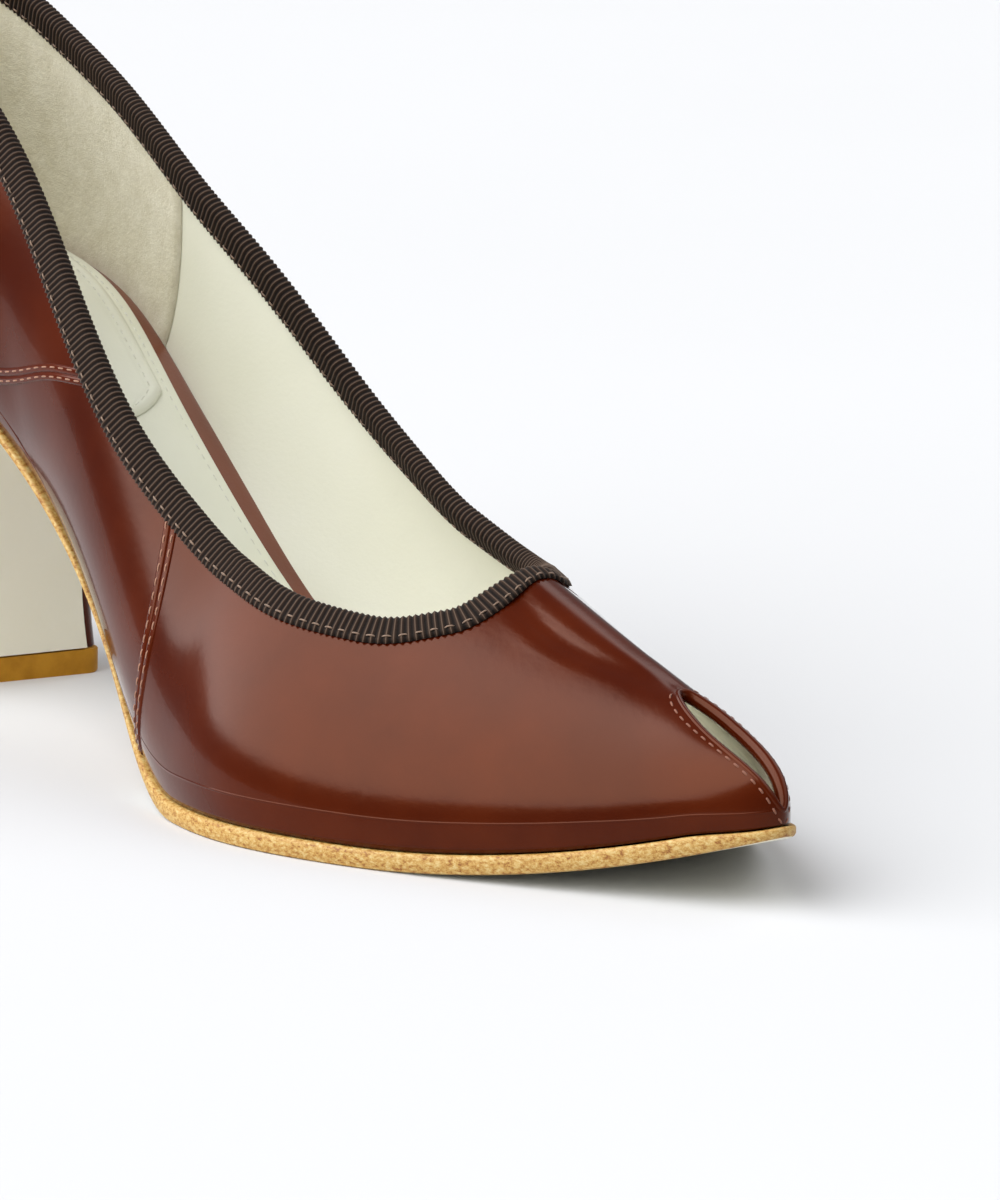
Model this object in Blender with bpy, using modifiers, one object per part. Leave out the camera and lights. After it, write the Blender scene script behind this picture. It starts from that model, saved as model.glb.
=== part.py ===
"""Peep toe pump, right shoe, standing on its heel and forefoot.

Metres, +Z up. The toe points to +X and the outer side of the shoe faces -Y. The shoe is worked
out with its heel at X = 0 and is moved at the end, so that the origin is under its middle.
"""
from collections import namedtuple

import bmesh
import bpy
import numpy as np

# Driving sizes
LENGTH = 0.228
BALL_WIDTH = 0.074
HEEL_HEIGHT = 0.0653
TOE_SPRING = 0.0105
TREAD_START = 0.60 * LENGTH
TREAD_END = 0.76 * LENGTH
INSTEP_HEIGHT = 0.085
SIDE_HEIGHT = 0.040
THROAT = 0.1735
TOE_SWING = 0.0015

UPPER_WALL = 0.0018
FEATHER_INSET = 0.0008
HEEL_CENTRE = 0.030
TOE_CENTRE = 0.211
FAN_BLEND = 0.008
RIDGE_ROUND = 0.0030

SLIT_REAR = 0.2055
SLIT_LENGTH = 0.0255
SLIT_WIDTH = 0.0070
SLIT_DIP = 0.54

SOLE_THICKNESS = 0.0028
SOLE_EDGE_STEP = 0.0004
SOLE_EDGE_LINE = 0.0006
INSOLE_THICKNESS = 0.0024
SOCK_THICKNESS = 0.0009
SOCK_MARGIN_HEEL = 0.0022
SOCK_MARGIN_FORE = 0.0046
SOCK_START = 0.004
SOCK_TO_TOE = 0.023
SOCK_END = LENGTH - SOCK_TO_TOE
PAD_THICKNESS = 0.0012
PAD_MARGIN = 0.0030
PAD_START = 0.0085
PAD_END = 0.0790

BINDING_OUTER_LEG = 0.0037
BINDING_INNER_LEG = 0.0035
BINDING_THICKNESS = 0.0007

TOP_PIECE_THICKNESS = 0.0040
HEEL_BASE_BACK = 0.0050
HEEL_BASE_FRONT = 0.0416
HEEL_BASE_WIDTH = 0.0430
HEEL_TOP_FRONT = 0.0530
HEEL_SEAT_INSET = 0.0012
HEEL_PINCH = 0.0020
HEEL_CORNER = 0.0030
BREAST_SKEW = np.radians(7.5)
BREAST_COVER_THICKNESS = 0.0008
BREAST_COVER_MARGIN = 0.0020

SEAT_GAP = 0.0003

# Number of steps of the grids
HEEL_TO_THROAT = 36
THROAT_TO_SLIT = 7
SLIT_TO_TOE = 11
WALL_ROWS = 11
SOLE_ROWS = 50
SOLE_ACROSS = 6
HEEL_STATIONS = 16
HEEL_LEVELS = 8

# Sections of the last, heel to toe. along is a share of LENGTH. outer and inner are the half
# widths of the sole, and outer_flare and inner_flare how far the wall leans out above it, all
# as shares of BALL_WIDTH. side_full and top_full say how square the section is, and
# outer_roof and inner_roof are the slopes on either side of the crown line.
Section = namedtuple("Section", "along outer inner outer_flare inner_flare side_full top_full "
                                "outer_roof inner_roof")
LAST = [
    Section(0.00, 0.000, 0.000, 0.065, 0.065, 0.30, 0.58, 0.00, 0.00),
    Section(0.03, 0.189, 0.189, 0.072, 0.072, 0.30, 0.50, 0.00, 0.00),
    Section(0.10, 0.304, 0.304, 0.088, 0.088, 0.30, 0.25, 0.00, 0.00),
    Section(0.20, 0.318, 0.311, 0.108, 0.088, 0.30, 0.11, 0.00, 0.00),
    Section(0.33, 0.291, 0.223, 0.150, 0.160, 0.30, 0.15, 0.00, 0.00),
    Section(0.45, 0.324, 0.196, 0.220, 0.345, 0.31, 0.28, 0.16, 0.16),
    Section(0.56, 0.459, 0.291, 0.090, 0.270, 0.34, 0.42, 0.35, 0.43),
    Section(0.66, 0.528, 0.412, 0.040, 0.130, 0.40, 0.44, 0.55, 0.70),
    Section(0.74, 0.478, 0.459, 0.014, 0.040, 0.43, 0.47, 0.64, 0.86),
    Section(0.82, 0.370, 0.399, 0.014, 0.012, 0.46, 0.48, 0.68, 1.00),
    Section(0.90, 0.238, 0.266, 0.010, 0.010, 0.48, 0.50, 0.72, 1.00),
    Section(0.96, 0.128, 0.121, 0.007, 0.007, 0.55, 0.55, 0.60, 0.70),
    Section(1.00, 0.000, 0.000, 0.007, 0.007, 0.60, 0.60, 0.60, 0.60),
]

# Underside of the arch: share of LENGTH, share of HEEL_HEIGHT
ARCH = [(0.00, 1.000), (0.08, 0.985), (0.16, 0.940), (0.24, 0.858), (0.32, 0.702),
        (0.40, 0.478), (0.48, 0.214), (0.55, 0.046)]

# Crown line above the underside: share of LENGTH, share of INSTEP_HEIGHT
CROWN = [(0.00, 1.00), (0.20, 1.01), (0.35, 0.97), (0.50, 0.865), (0.60, 0.690), (0.66, 0.592),
         (0.72, 0.513), (0.78, 0.446), (0.84, 0.371), (0.88, 0.314), (0.925, 0.244), (1.00, 0.14)]

# Finished topline above the underside: share of THROAT, then shares of SIDE_HEIGHT on either side
Collar = namedtuple("Collar", "along outer inner")
COLLAR = [
    Collar(0.000, 1.435, 1.435),
    Collar(0.058, 1.370, 1.350),
    Collar(0.115, 1.300, 1.255),
    Collar(0.213, 1.215, 1.100),
    Collar(0.346, 1.160, 1.000),
    Collar(0.438, 1.075, 0.990),
    Collar(0.530, 1.005, 1.020),
    Collar(0.628, 1.015, 1.060),
    Collar(0.736, 1.020, 1.090),
    Collar(0.789, 0.965, 1.030),
    Collar(0.844, 0.890, 0.945),
    Collar(0.916, 0.838, 0.905),
    Collar(0.951, 0.835, 0.918),
    Collar(0.980, 0.870, 0.952),
    Collar(0.994, 0.922, 0.970),
    Collar(1.000, 0.985, 0.985),
    Collar(1.030, 1.250, 1.250),
]

OUTER, INNER = 0, 1
UP = np.array([0.0, 0.0, 1.0])


def clear_scene():
    for item in list(bpy.data.objects):
        bpy.data.objects.remove(item, do_unlink=True)


def spline(knots, values, start=None, end=None):
    """Smooth curve through values at knots. start and end are its slopes there, if they are set."""
    x = np.asarray(knots, float)
    y = np.asarray(values, float)
    n = len(x)
    h = np.diff(x)
    a = np.zeros((n, n))
    b = np.zeros((n,) + y.shape[1:])
    for i in range(1, n - 1):
        a[i, i - 1], a[i, i], a[i, i + 1] = h[i - 1], 2 * (h[i - 1] + h[i]), h[i]
        b[i] = 6 * ((y[i + 1] - y[i]) / h[i] - (y[i] - y[i - 1]) / h[i - 1])
    a[0, 0] = a[-1, -1] = 1.0
    if start is not None:
        a[0, 0], a[0, 1] = 2 * h[0], h[0]
        b[0] = 6 * ((y[1] - y[0]) / h[0] - start)
    if end is not None:
        a[-1, -2], a[-1, -1] = h[-1], 2 * h[-1]
        b[-1] = 6 * (end - (y[-1] - y[-2]) / h[-1])
    m = np.linalg.solve(a, b)

    def curve(at):
        at = np.asarray(at, float)
        i = np.clip(np.searchsorted(x, at) - 1, 0, n - 2)
        left, right = at - x[i], x[i + 1] - at
        width = h[i]
        if y.ndim > 1:
            left, right, width = left[..., None], right[..., None], width[..., None]
        return (m[i] * right ** 3 + m[i + 1] * left ** 3) / (6 * width) + \
            (y[i] / width - m[i] * width / 6) * right + (y[i + 1] / width - m[i + 1] * width / 6) * left

    return curve


arch_curve = spline([row[0] * LENGTH for row in ARCH] + [TREAD_START],
                    [row[1] * HEEL_HEIGHT for row in ARCH] + [0.0], end=0.0)
crown_curve = spline([row[0] * LENGTH for row in CROWN], [row[1] * INSTEP_HEIGHT for row in CROWN])
collar_curves = [spline([row.along * THROAT for row in COLLAR],
                        [row[1 + side] * SIDE_HEIGHT for row in COLLAR]) for side in (OUTER, INNER)]


def underside(x):
    """Height of the sole's underside: heel seat, arch, flat tread and toe spring."""
    x = np.asarray(x, float)
    spring = TOE_SPRING * (np.clip(x - TREAD_END, 0, None) / (LENGTH - TREAD_END)) ** 2
    return np.where(x < TREAD_START, arch_curve(np.minimum(x, TREAD_START)), spring)


def swing(x):
    return TOE_SWING * (np.asarray(x, float) / LENGTH) ** 2


def outline_loop():
    """Closed smooth outline of the sole, as a curve over the numbers of its sections."""
    outer = [(row.along * LENGTH, -row.outer * BALL_WIDTH) for row in LAST]
    inner = [(row.along * LENGTH, row.inner * BALL_WIDTH) for row in LAST]
    loop = np.array(outer + inner[-2:0:-1])
    loop[:, 1] += swing(loop[:, 0])
    laps = np.vstack([loop, loop, loop, loop[:1]])
    chords = np.concatenate([[0], np.cumsum(np.linalg.norm(np.diff(laps, axis=0), axis=1))])
    curve = spline(chords, laps)
    count = len(loop)
    numbers = np.arange(len(laps)) - count

    def at(number):
        return curve(np.interp(number, numbers, chords))

    return at, count


outline_at, OUTLINE_COUNT = outline_loop()
LAST_ROW = len(LAST) - 1


def outline(side, t, inset=0.0):
    """Point of the sole's outline at t, which is 0 at the heel and 1 at the toe."""
    number = np.asarray(t, float) * LAST_ROW
    number = number if side == OUTER else OUTLINE_COUNT - number
    step = 0.01
    point = outline_at(number)
    along = outline_at(number + step) - outline_at(number - step)
    along /= np.linalg.norm(along, axis=-1, keepdims=True)
    inward = np.stack([-along[..., 1], along[..., 0]], -1)
    return point + inward * np.asarray(inset)[..., None]


section_curves = {name: spline(np.arange(len(LAST)), [getattr(row, name) for row in LAST],
                               start=0.0, end=0.0) for name in Section._fields[3:]}


def section_value(name, t):
    return section_curves[name](np.asarray(t, float) * LAST_ROW)


def soft_limit(value, limit, sign):
    """Value kept below the limit for sign 1, or above it for sign -1, with a soft bend."""
    over = sign * (value - limit)
    return value - sign * 0.5 * (over + np.sqrt(over ** 2 + FAN_BLEND ** 2))


def spine(t):
    """Middle line that the sections reach up to. It stops short of heel and toe."""
    x = 0.5 * (outline(OUTER, t)[..., 0] + outline(INNER, t)[..., 0])
    x = soft_limit(soft_limit(x, TOE_CENTRE, 1), HEEL_CENTRE, -1)
    return np.stack([x, swing(x)], -1)


def crown(x):
    return underside(x) + crown_curve(x)


def feather(side, t):
    """Lower edge of the upper, just above the sole and inside its edge."""
    point = outline(side, t, FEATHER_INSET)
    return np.concatenate([point, (underside(point[..., 0]) + SOLE_THICKNESS + SEAT_GAP)[..., None]], -1)


def upper_point(side, t, v):
    """Outer face of the upper: v is 0 at the sole and 1 at the crown."""
    t, v = np.broadcast_arrays(np.asarray(t, float), np.asarray(v, float))
    name = "outer" if side == OUTER else "inner"
    foot = feather(side, t)
    middle = spine(t)
    out = foot[..., :2] - middle
    reach = np.linalg.norm(out, axis=-1, keepdims=True)
    out = np.concatenate([out / reach, np.zeros_like(reach)], -1)
    roof = section_value(name + "_roof", t) * np.abs(out[..., 1])
    top = np.concatenate([middle, (crown(middle[..., 0]) + roof * RIDGE_ROUND)[..., None]], -1)
    step = 0.001
    slope = (crown(middle[..., 0] + step) - crown(middle[..., 0] - step)) / (2 * step) * out[..., 0]
    flare = section_value(name + "_flare", t)[..., None] * BALL_WIDTH
    rise = (top - foot)[..., 2:] * section_value("side_full", t)[..., None]
    shoulder = reach * section_value("top_full", t)[..., None]
    lower = foot + out * flare + UP * rise
    higher = top + out * shoulder + UP * (slope - roof)[..., None] * shoulder
    w = v[..., None]
    point = (1 - w) ** 3 * foot + 3 * (1 - w) ** 2 * w * lower + 3 * (1 - w) * w ** 2 * higher + w ** 3 * top
    away = np.linalg.norm(point[..., :2] - middle, axis=-1)
    round_off = roof * (np.hypot(away, RIDGE_ROUND) - away)
    return point - UP * (round_off * v ** 3)[..., None]


def collar_cut(side, x):
    """Height of the upper's edge. The ribbon over it rises to the finished topline."""
    height = collar_curves[side](np.clip(x, 0, THROAT * COLLAR[-1].along))
    return underside(x) + height - BINDING_THICKNESS - SEAT_GAP


def collar_excess(side, points):
    """How far points lie above the collar's cut."""
    x = points[..., 0]
    return np.where(x > THROAT * COLLAR[-1].along, -1.0, points[..., 2] - collar_cut(side, x))


def slit_excess(side, points):
    """How far points lie inside the toe slit, across its middle line."""
    fall = crown(SLIT_REAR) - points[..., 2]
    forward = points[..., 0] - SLIT_REAR
    share = (forward + SLIT_DIP * fall) / np.hypot(1, SLIT_DIP) / SLIT_LENGTH
    inside = np.clip(share, 0, 1)
    half = 0.5 * SLIT_WIDTH * np.sqrt(np.sin(np.pi * inside ** 0.9))
    outside = np.abs(share - inside) * SLIT_LENGTH
    return half - outside - np.abs(points[..., 1] - swing(points[..., 0]))


def trim(side, t):
    """Height v at which the section at t first meets the collar or the slit."""
    v = np.linspace(0.02, 1, 400)
    points = upper_point(side, np.full_like(v, t), v)
    excess = np.maximum(collar_excess(side, points), slit_excess(side, points))
    hits = np.nonzero(excess > 0)[0]
    if len(hits) == 0:
        return 1.0
    first = hits[0]
    low, high = excess[first - 1], excess[first]
    return float(v[first - 1] + (v[first] - v[first - 1]) * low / (low - high))


def solve_t(test):
    """The t at which a test of the spine point changes sign."""
    low, high = 0.3, 0.999
    for _ in range(40):
        middle = 0.5 * (low + high)
        low, high = (middle, high) if test(float(spine(middle)[0])) > 0 else (low, middle)
    return 0.5 * (low + high)


def column_places():
    """Values of t for the columns of the upper, closer together at the throat and the slit."""
    throat = solve_t(lambda x: crown(x) - collar_cut(OUTER, x))
    slit = solve_t(lambda x: SLIT_REAR - x)
    to_throat = throat * (1 - (1 - np.linspace(0, 1, HEEL_TO_THROAT + 1)) ** 2.1)
    to_slit = np.linspace(throat, slit, THROAT_TO_SLIT + 1)
    to_toe = slit + (1 - slit) * np.linspace(0, 1, SLIT_TO_TOE + 1) ** 1.4
    return np.concatenate([to_throat, to_slit[1:], to_toe[1:]])


def column_trims():
    """Trim of every column. Both sides share heel, toe, and the ridge from throat to slit."""
    trims = [np.array([trim(side, t) for t in COLUMNS]) for side in (OUTER, INNER)]
    for side in (OUTER, INNER):
        trims[side][HEEL_TO_THROAT:HEEL_TO_THROAT + THROAT_TO_SLIT + 1] = 1.0
    trims[INNER][[0, -1]] = trims[OUTER][[0, -1]]
    return trims


COLUMNS = column_places()
TRIMS = column_trims()


def new_material(name, colour, roughness, coat=0.0):
    material = bpy.data.materials.new(name)
    material.use_nodes = True
    shader = material.node_tree.nodes["Principled BSDF"]
    shader.inputs["Base Color"].default_value = (*colour, 1.0)
    shader.inputs["Roughness"].default_value = roughness
    shader.inputs["Metallic"].default_value = 0.0
    shader.inputs["Coat Weight"].default_value = coat
    material.diffuse_color = (*colour, 1.0)
    return material


def new_object(name, vertices, faces, collection, material):
    """Mesh object with its doubles joined and its faces turned outwards."""
    mesh = bpy.data.meshes.new(name)
    mesh.from_pydata([tuple(map(float, vertex)) for vertex in vertices], [], faces)
    cage = bmesh.new()
    cage.from_mesh(mesh)
    bmesh.ops.remove_doubles(cage, verts=cage.verts, dist=1e-6)
    bmesh.ops.dissolve_degenerate(cage, edges=cage.edges, dist=1e-7)
    bmesh.ops.recalc_face_normals(cage, faces=cage.faces)
    cage.to_mesh(mesh)
    cage.free()
    item = bpy.data.objects.new(name, mesh)
    item.data.materials.append(material)
    item.data.shade_smooth()
    item.data.set_sharp_from_angle(angle=np.radians(40))
    collection.objects.link(item)
    return item


def grid_faces(rows, columns, first=0, closed=False):
    """Quads between neighbours of a grid whose points are numbered row by row."""
    faces = []
    for i in range(rows if closed else rows - 1):
        for j in range(columns - 1):
            a, b = first + i * columns + j, first + (i + 1) % rows * columns + j
            faces.append((a, a + 1, b + 1, b))
    return faces


def layered_solid(name, layers, collection, material):
    """Closed solid between grids of the same shape that lie one above the other."""
    rows, columns = layers[0].shape[:2]
    count = rows * columns
    vertices = np.concatenate([layer.reshape(-1, 3) for layer in layers])
    faces = grid_faces(rows, columns) + grid_faces(rows, columns, count * (len(layers) - 1))
    rim = [j for j in range(columns)]
    rim += [i * columns + columns - 1 for i in range(1, rows)]
    rim += [(rows - 1) * columns + j for j in range(columns - 2, -1, -1)]
    rim += [i * columns for i in range(rows - 2, 0, -1)]
    for level in range(len(layers) - 1):
        low, high = level * count, (level + 1) * count
        for here, there in zip(rim, rim[1:] + rim[:1]):
            faces.append((low + here, low + there, high + there, high + here))
    used = sorted({index for face in faces for index in face})
    place = {old: new for new, old in enumerate(used)}
    faces = [tuple(place[index] for index in face) for face in faces]
    return new_object(name, vertices[used], faces, collection, material)


def across(outer, inner, count, height):
    """Grid of points from the outer edge to the inner edge, at a height that follows x."""
    share = np.linspace(0, 1, count)[None, :, None]
    flat = outer[:, None, :] * (1 - share) + inner[:, None, :] * share
    return np.concatenate([flat, height(flat[..., 0])[..., None]], -1)


def make_upper(collection):
    """Hollow shell, open at the collar, the slit and underneath."""
    share = 1 - (1 - np.linspace(0, 1, WALL_ROWS + 1)[None, :]) ** 1.35
    sheets = []
    for side in (OUTER, INNER):
        v = TRIMS[side][:, None] * share
        sheets.append(upper_point(side, COLUMNS[:, None], v))
    size = len(COLUMNS) * (WALL_ROWS + 1)
    vertices = np.concatenate([sheet.reshape(-1, 3) for sheet in sheets])
    faces = grid_faces(len(COLUMNS), WALL_ROWS + 1)
    faces += [face[::-1] for face in grid_faces(len(COLUMNS), WALL_ROWS + 1, size)]
    material = new_material("brown patent leather", (0.115, 0.020, 0.009), 0.18, 1.0)
    upper = new_object("upper", vertices, faces, collection, material)
    face_outwards(upper)
    wall = upper.modifiers.new("wall", "SOLIDIFY")
    wall.thickness = UPPER_WALL
    wall.offset = -1.0
    return upper


def face_outwards(item):
    """Turn an open sheet so that its normals point away from its middle."""
    cage = bmesh.new()
    cage.from_mesh(item.data)
    middle = np.mean([vertex.co[:] for vertex in cage.verts], axis=0)
    votes = sum(np.dot(np.array(face.calc_center_median()) - middle, face.normal) for face in cage.faces)
    if votes < 0:
        bmesh.ops.reverse_faces(cage, faces=cage.faces)
    cage.to_mesh(item.data)
    cage.free()


def edge_frames():
    """Collar's edge once round: sides, columns, directions away from the opening, and normals."""
    last = HEEL_TO_THROAT
    round_trip = [(OUTER, i) for i in range(last, 0, -1)] + [(INNER, i) for i in range(0, last)]
    points = np.array([upper_point(side, COLUMNS[i], TRIMS[side][i]) for side, i in round_trip])
    tangent = np.roll(points, -1, axis=0) - np.roll(points, 1, axis=0)
    tangent /= np.linalg.norm(tangent, axis=1, keepdims=True)
    frames = []
    step = 1e-3
    for (side, i), point, forward in zip(round_trip, points, tangent):
        t, v = COLUMNS[i], TRIMS[side][i]
        by_t = (upper_point(side, t + step, v) - upper_point(side, t - step, v)) / (2 * step)
        by_v = (upper_point(side, t, v) - upper_point(side, t, v - step)) / step
        if i == last:
            by_v = np.array([0.0, 1.0, 0.0]) * np.linalg.norm(by_v)
        normal = np.cross(by_t, by_v)
        normal /= np.linalg.norm(normal)
        inside = np.array([point[0], 0.0, point[2] - SIDE_HEIGHT])
        normal = normal if np.dot(normal, point - inside) > 0 else -normal
        away = np.cross(normal, forward)
        frames.append((side, t, v, point, away, normal, np.stack([by_t, by_v], 1)))
    return frames


def wall_point(frame, distance):
    """Point on the upper's outer face, at a distance from the collar's edge."""
    side, t, v, point, away, _, slopes = frame
    move = np.linalg.lstsq(slopes, away * distance, rcond=None)[0]
    reached = upper_point(side, np.clip(t + move[0], 0, 1), np.clip(v + move[1], 0, 1))
    direction = reached - point
    length = np.linalg.norm(direction)
    return point + direction * (distance / length) if length > 1e-9 else point


def make_binding(collection):
    """Ribbon folded over the collar: a U section carried once round the edge."""
    rings = []
    near, far = SEAT_GAP, SEAT_GAP + BINDING_THICKNESS
    for frame in edge_frames():
        point, away, normal = frame[3:6]
        outer = [wall_point(frame, share * BINDING_OUTER_LEG) for share in (0.5, 1.0)]
        inner = [wall_point(frame, share * BINDING_INNER_LEG) for share in (0.5, 1.0)]
        back = -normal * UPPER_WALL
        rings.append([
            outer[1] + normal * far,
            outer[0] + normal * far,
            point + normal * far,
            point + normal * near - away * far,
            point + back - normal * near - away * far,
            point + back - normal * far,
            inner[0] + back - normal * far,
            inner[1] + back - normal * far,
            inner[1] + back - normal * near,
            inner[0] + back - normal * near,
            point + back - normal * near - away * near,
            point + normal * near - away * near,
            outer[0] + normal * near,
            outer[1] + normal * near,
        ])
    rings = np.array(rings)
    rings = np.concatenate([rings, rings[:, :1]], 1)
    faces = grid_faces(len(rings), rings.shape[1], closed=True)
    material = new_material("dark ribbed ribbon", (0.045, 0.024, 0.015), 0.75)
    return new_object("collar_binding", rings.reshape(-1, 3), faces, collection, material)


def make_outsole(collection):
    """Thin sole with a small step along the lower line of its edge."""
    t = np.linspace(0, 1, SOLE_ROWS + 1)
    layers = []
    for inset, lift in ((SOLE_EDGE_STEP, 0.0), (0.0, SOLE_EDGE_LINE), (0.0, SOLE_THICKNESS)):
        outer, inner = outline(OUTER, t, inset), outline(INNER, t, inset)
        layers.append(across(outer, inner, SOLE_ACROSS + 1, lambda x, lift=lift: underside(x) + lift))
    material = new_material("natural sole leather", (0.62, 0.36, 0.12), 0.6)
    return layered_solid("outsole", layers, collection, material)


def board(t, inset, low, high, outer_limit=None):
    """Two layers of a board that lies on the sole, inside its outline."""
    outer, inner = outline(OUTER, t, inset), outline(INNER, t, inset)
    base = SOLE_THICKNESS + SEAT_GAP
    return [across(outer, inner, SOLE_ACROSS + 1, lambda x, lift=lift: underside(x) + base + lift)
            for lift in (low, high)]


def make_insole(collection):
    """Board inside the upper's lower edge, carrying the sock."""
    inset = FEATHER_INSET + UPPER_WALL + 2 * SEAT_GAP
    layers = board(np.linspace(0, 1, SOLE_ROWS + 1), inset, 0.0, INSOLE_THICKNESS)
    material = new_material("brown insole cover", (0.16, 0.045, 0.02), 0.3, 0.6)
    return layered_solid("insole", layers, collection, material)


def t_at(x):
    """The t at which the middle of the outline lies at x."""
    t = np.linspace(0, 1, 400)
    middle = 0.5 * (outline(OUTER, t)[:, 0] + outline(INNER, t)[:, 0])
    return np.interp(x, middle, t)


def sock_inset(t):
    x = 0.5 * (outline(OUTER, t)[:, 0] + outline(INNER, t)[:, 0])
    share = np.clip((x / LENGTH - 0.15) / 0.27, 0, 1)
    margin = SOCK_MARGIN_HEEL + (SOCK_MARGIN_FORE - SOCK_MARGIN_HEEL) * share ** 2 * (3 - 2 * share)
    return FEATHER_INSET + UPPER_WALL + 2 * SEAT_GAP + margin


def make_sock(collection):
    """Sock lining that leaves a band of the insole bare along its edge."""
    t = np.linspace(t_at(SOCK_START), t_at(SOCK_END), SOLE_ROWS + 1)
    low = INSOLE_THICKNESS + SEAT_GAP
    layers = board(t, sock_inset(t), low, low + SOCK_THICKNESS)
    material = new_material("cream sock leather", (0.66, 0.65, 0.52), 0.45)
    return layered_solid("sock_lining", layers, collection, material)


def make_heel_pad(collection):
    """Soft pad under the heel, with a round front, thinner towards its edge."""
    places = PAD_START + (PAD_END - PAD_START) * (1 - np.cos(np.linspace(0, np.pi, 29))) / 2
    t = t_at(places)
    outer = outline(OUTER, t, sock_inset(t) + PAD_MARGIN)
    inner = outline(INNER, t, sock_inset(t) + PAD_MARGIN)
    middle = 0.5 * (outer + inner)
    half = 0.5 * np.linalg.norm(outer - inner, axis=1)
    widest = half.max()
    nose = np.clip((PAD_END - places) / widest, 0, 1)
    tail = np.clip((places - PAD_START) / widest, 0, 1)
    half = np.minimum(half, widest * np.sqrt(1 - (1 - nose) ** 2))
    half = np.minimum(half, widest * np.sqrt(1 - (1 - tail) ** 2)) + 1e-4
    sideways = (inner - outer) / np.linalg.norm(inner - outer, axis=1, keepdims=True)
    low = SOLE_THICKNESS + 3 * SEAT_GAP + INSOLE_THICKNESS + SOCK_THICKNESS
    layers = []
    for narrower, lift in ((0.0, 0.0), (0.0, 0.3 * PAD_THICKNESS), (0.0012, PAD_THICKNESS)):
        width = np.maximum(half - narrower, 5e-5)[:, None]
        layers.append(across(middle - sideways * width, middle + sideways * width, SOLE_ACROSS + 1,
                             lambda x, lift=lift: underside(x) + low + lift))
    material = new_material("cream pad leather", (0.68, 0.67, 0.55), 0.45)
    return layered_solid("heel_pad", layers, collection, material)


def heel_edges(level):
    """Outer and inner edge of the heel at a level: 0 at the top piece and 1 at the seat."""
    share = np.linspace(0, 1, HEEL_STATIONS + 1)
    share = 0.5 - 0.5 * np.cos(np.pi * share)
    seat_t = t_at(share * (HEEL_TOP_FRONT - HEEL_SEAT_INSET) + HEEL_SEAT_INSET)
    seat = [outline(side, seat_t, HEEL_SEAT_INSET) for side in (OUTER, INNER)]
    front = HEEL_BASE_FRONT - BREAST_COVER_THICKNESS - SEAT_GAP
    base_x = HEEL_BASE_BACK + share * (front - HEEL_BASE_BACK)
    back_round = np.sqrt(1 - (1 - np.clip(share / 0.55, 0, 1)) ** 2.4)
    corner = np.clip((base_x - (front - HEEL_CORNER)) / HEEL_CORNER, 0, 1)
    drop = HEEL_CORNER * (1 - np.sqrt(1 - corner ** 2))
    base_half = 0.5 * HEEL_BASE_WIDTH * back_round - drop
    pinch = HEEL_PINCH * 4 * level * (1 - level) * back_round
    edges = []
    for side, sign in ((OUTER, -1), (INNER, 1)):
        curve_in = level ** 2.2
        seat_y = seat[side][:, 1] - sign * drop
        seat_y[0] = 0.0
        x = base_x + (seat[side][:, 0] - base_x) * (level * (1 - share) + curve_in * share)
        y = sign * base_half + (seat_y - sign * base_half) * level - sign * pinch
        edges.append(np.stack([x - y * np.tan(-BREAST_SKEW) * share, y], -1))
    return edges


def heel_height(level, top_gap):
    """Height of the heel's level over x, between the top piece and the sole's underside."""
    bottom = TOP_PIECE_THICKNESS + SEAT_GAP
    return lambda x: bottom + (underside(x) - top_gap - bottom) * level


def make_heel(collection):
    """Block heel whose top follows the underside of the seat."""
    layers = []
    for level in np.linspace(0, 1, HEEL_LEVELS + 1):
        outer, inner = heel_edges(level)
        layers.append(across(outer, inner, SOLE_ACROSS + 1, heel_height(level, SEAT_GAP)))
    material = new_material("brown patent heel cover", (0.115, 0.020, 0.009), 0.18, 1.0)
    return layered_solid("heel_block", layers, collection, material)


def make_breast_cover(collection):
    """Pale leather that runs from the sole down the front face of the heel."""
    back, front = [], []
    step = BREAST_COVER_THICKNESS
    for level in np.linspace(0, 1, HEEL_LEVELS + 1):
        outer, inner = heel_edges(level)
        low, high = outer[-1], inner[-1]
        side = (high - low) / np.linalg.norm(high - low)
        forward = np.array([side[1], -side[0]])
        low, high = low + side * BREAST_COVER_MARGIN * 0.2, high - side * BREAST_COVER_MARGIN * 0.2
        share = np.linspace(0, 1, SOLE_ACROSS + 1)[:, None]
        line = low * (1 - share) + high * share
        for store, offset in ((back, SEAT_GAP), (front, SEAT_GAP + step)):
            flat = line + forward * offset
            store.append(np.column_stack([flat, heel_height(level, SEAT_GAP)(flat[:, 0])]))
    material = new_material("pale sole leather", (0.72, 0.68, 0.55), 0.5)
    return layered_solid("breast_cover", [np.array(back), np.array(front)], collection, material)


def make_top_piece(collection):
    """Wearing piece under the heel, flat on the floor."""
    outer, inner = heel_edges(0.0)
    reach = BREAST_COVER_THICKNESS + SEAT_GAP
    stretch = np.linspace(0, 1, HEEL_STATIONS + 1)[:, None] * [[reach, 0.0]]
    layers = [across(outer + stretch, inner + stretch, SOLE_ACROSS + 1,
                     lambda x, z=z: np.full_like(x, z)) for z in (0.0, TOP_PIECE_THICKNESS)]
    material = new_material("ochre wearing piece", (0.42, 0.19, 0.02), 0.5)
    return layered_solid("top_piece", layers, collection, material)


def centre_on_floor(items):
    """Move the shoe so that the origin is under the middle of its box."""
    bpy.context.view_layer.update()
    graph = bpy.context.evaluated_depsgraph_get()
    corners = []
    for item in items:
        mesh = item.evaluated_get(graph).data
        points = np.array([vertex.co[:] for vertex in mesh.vertices])
        corners += [points.min(axis=0), points.max(axis=0)]
    low, high = np.min(corners, axis=0), np.max(corners, axis=0)
    for item in items:
        item.location = (-(low[0] + high[0]) / 2, -(low[1] + high[1]) / 2, 0.0)
    bpy.context.view_layer.update()


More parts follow.
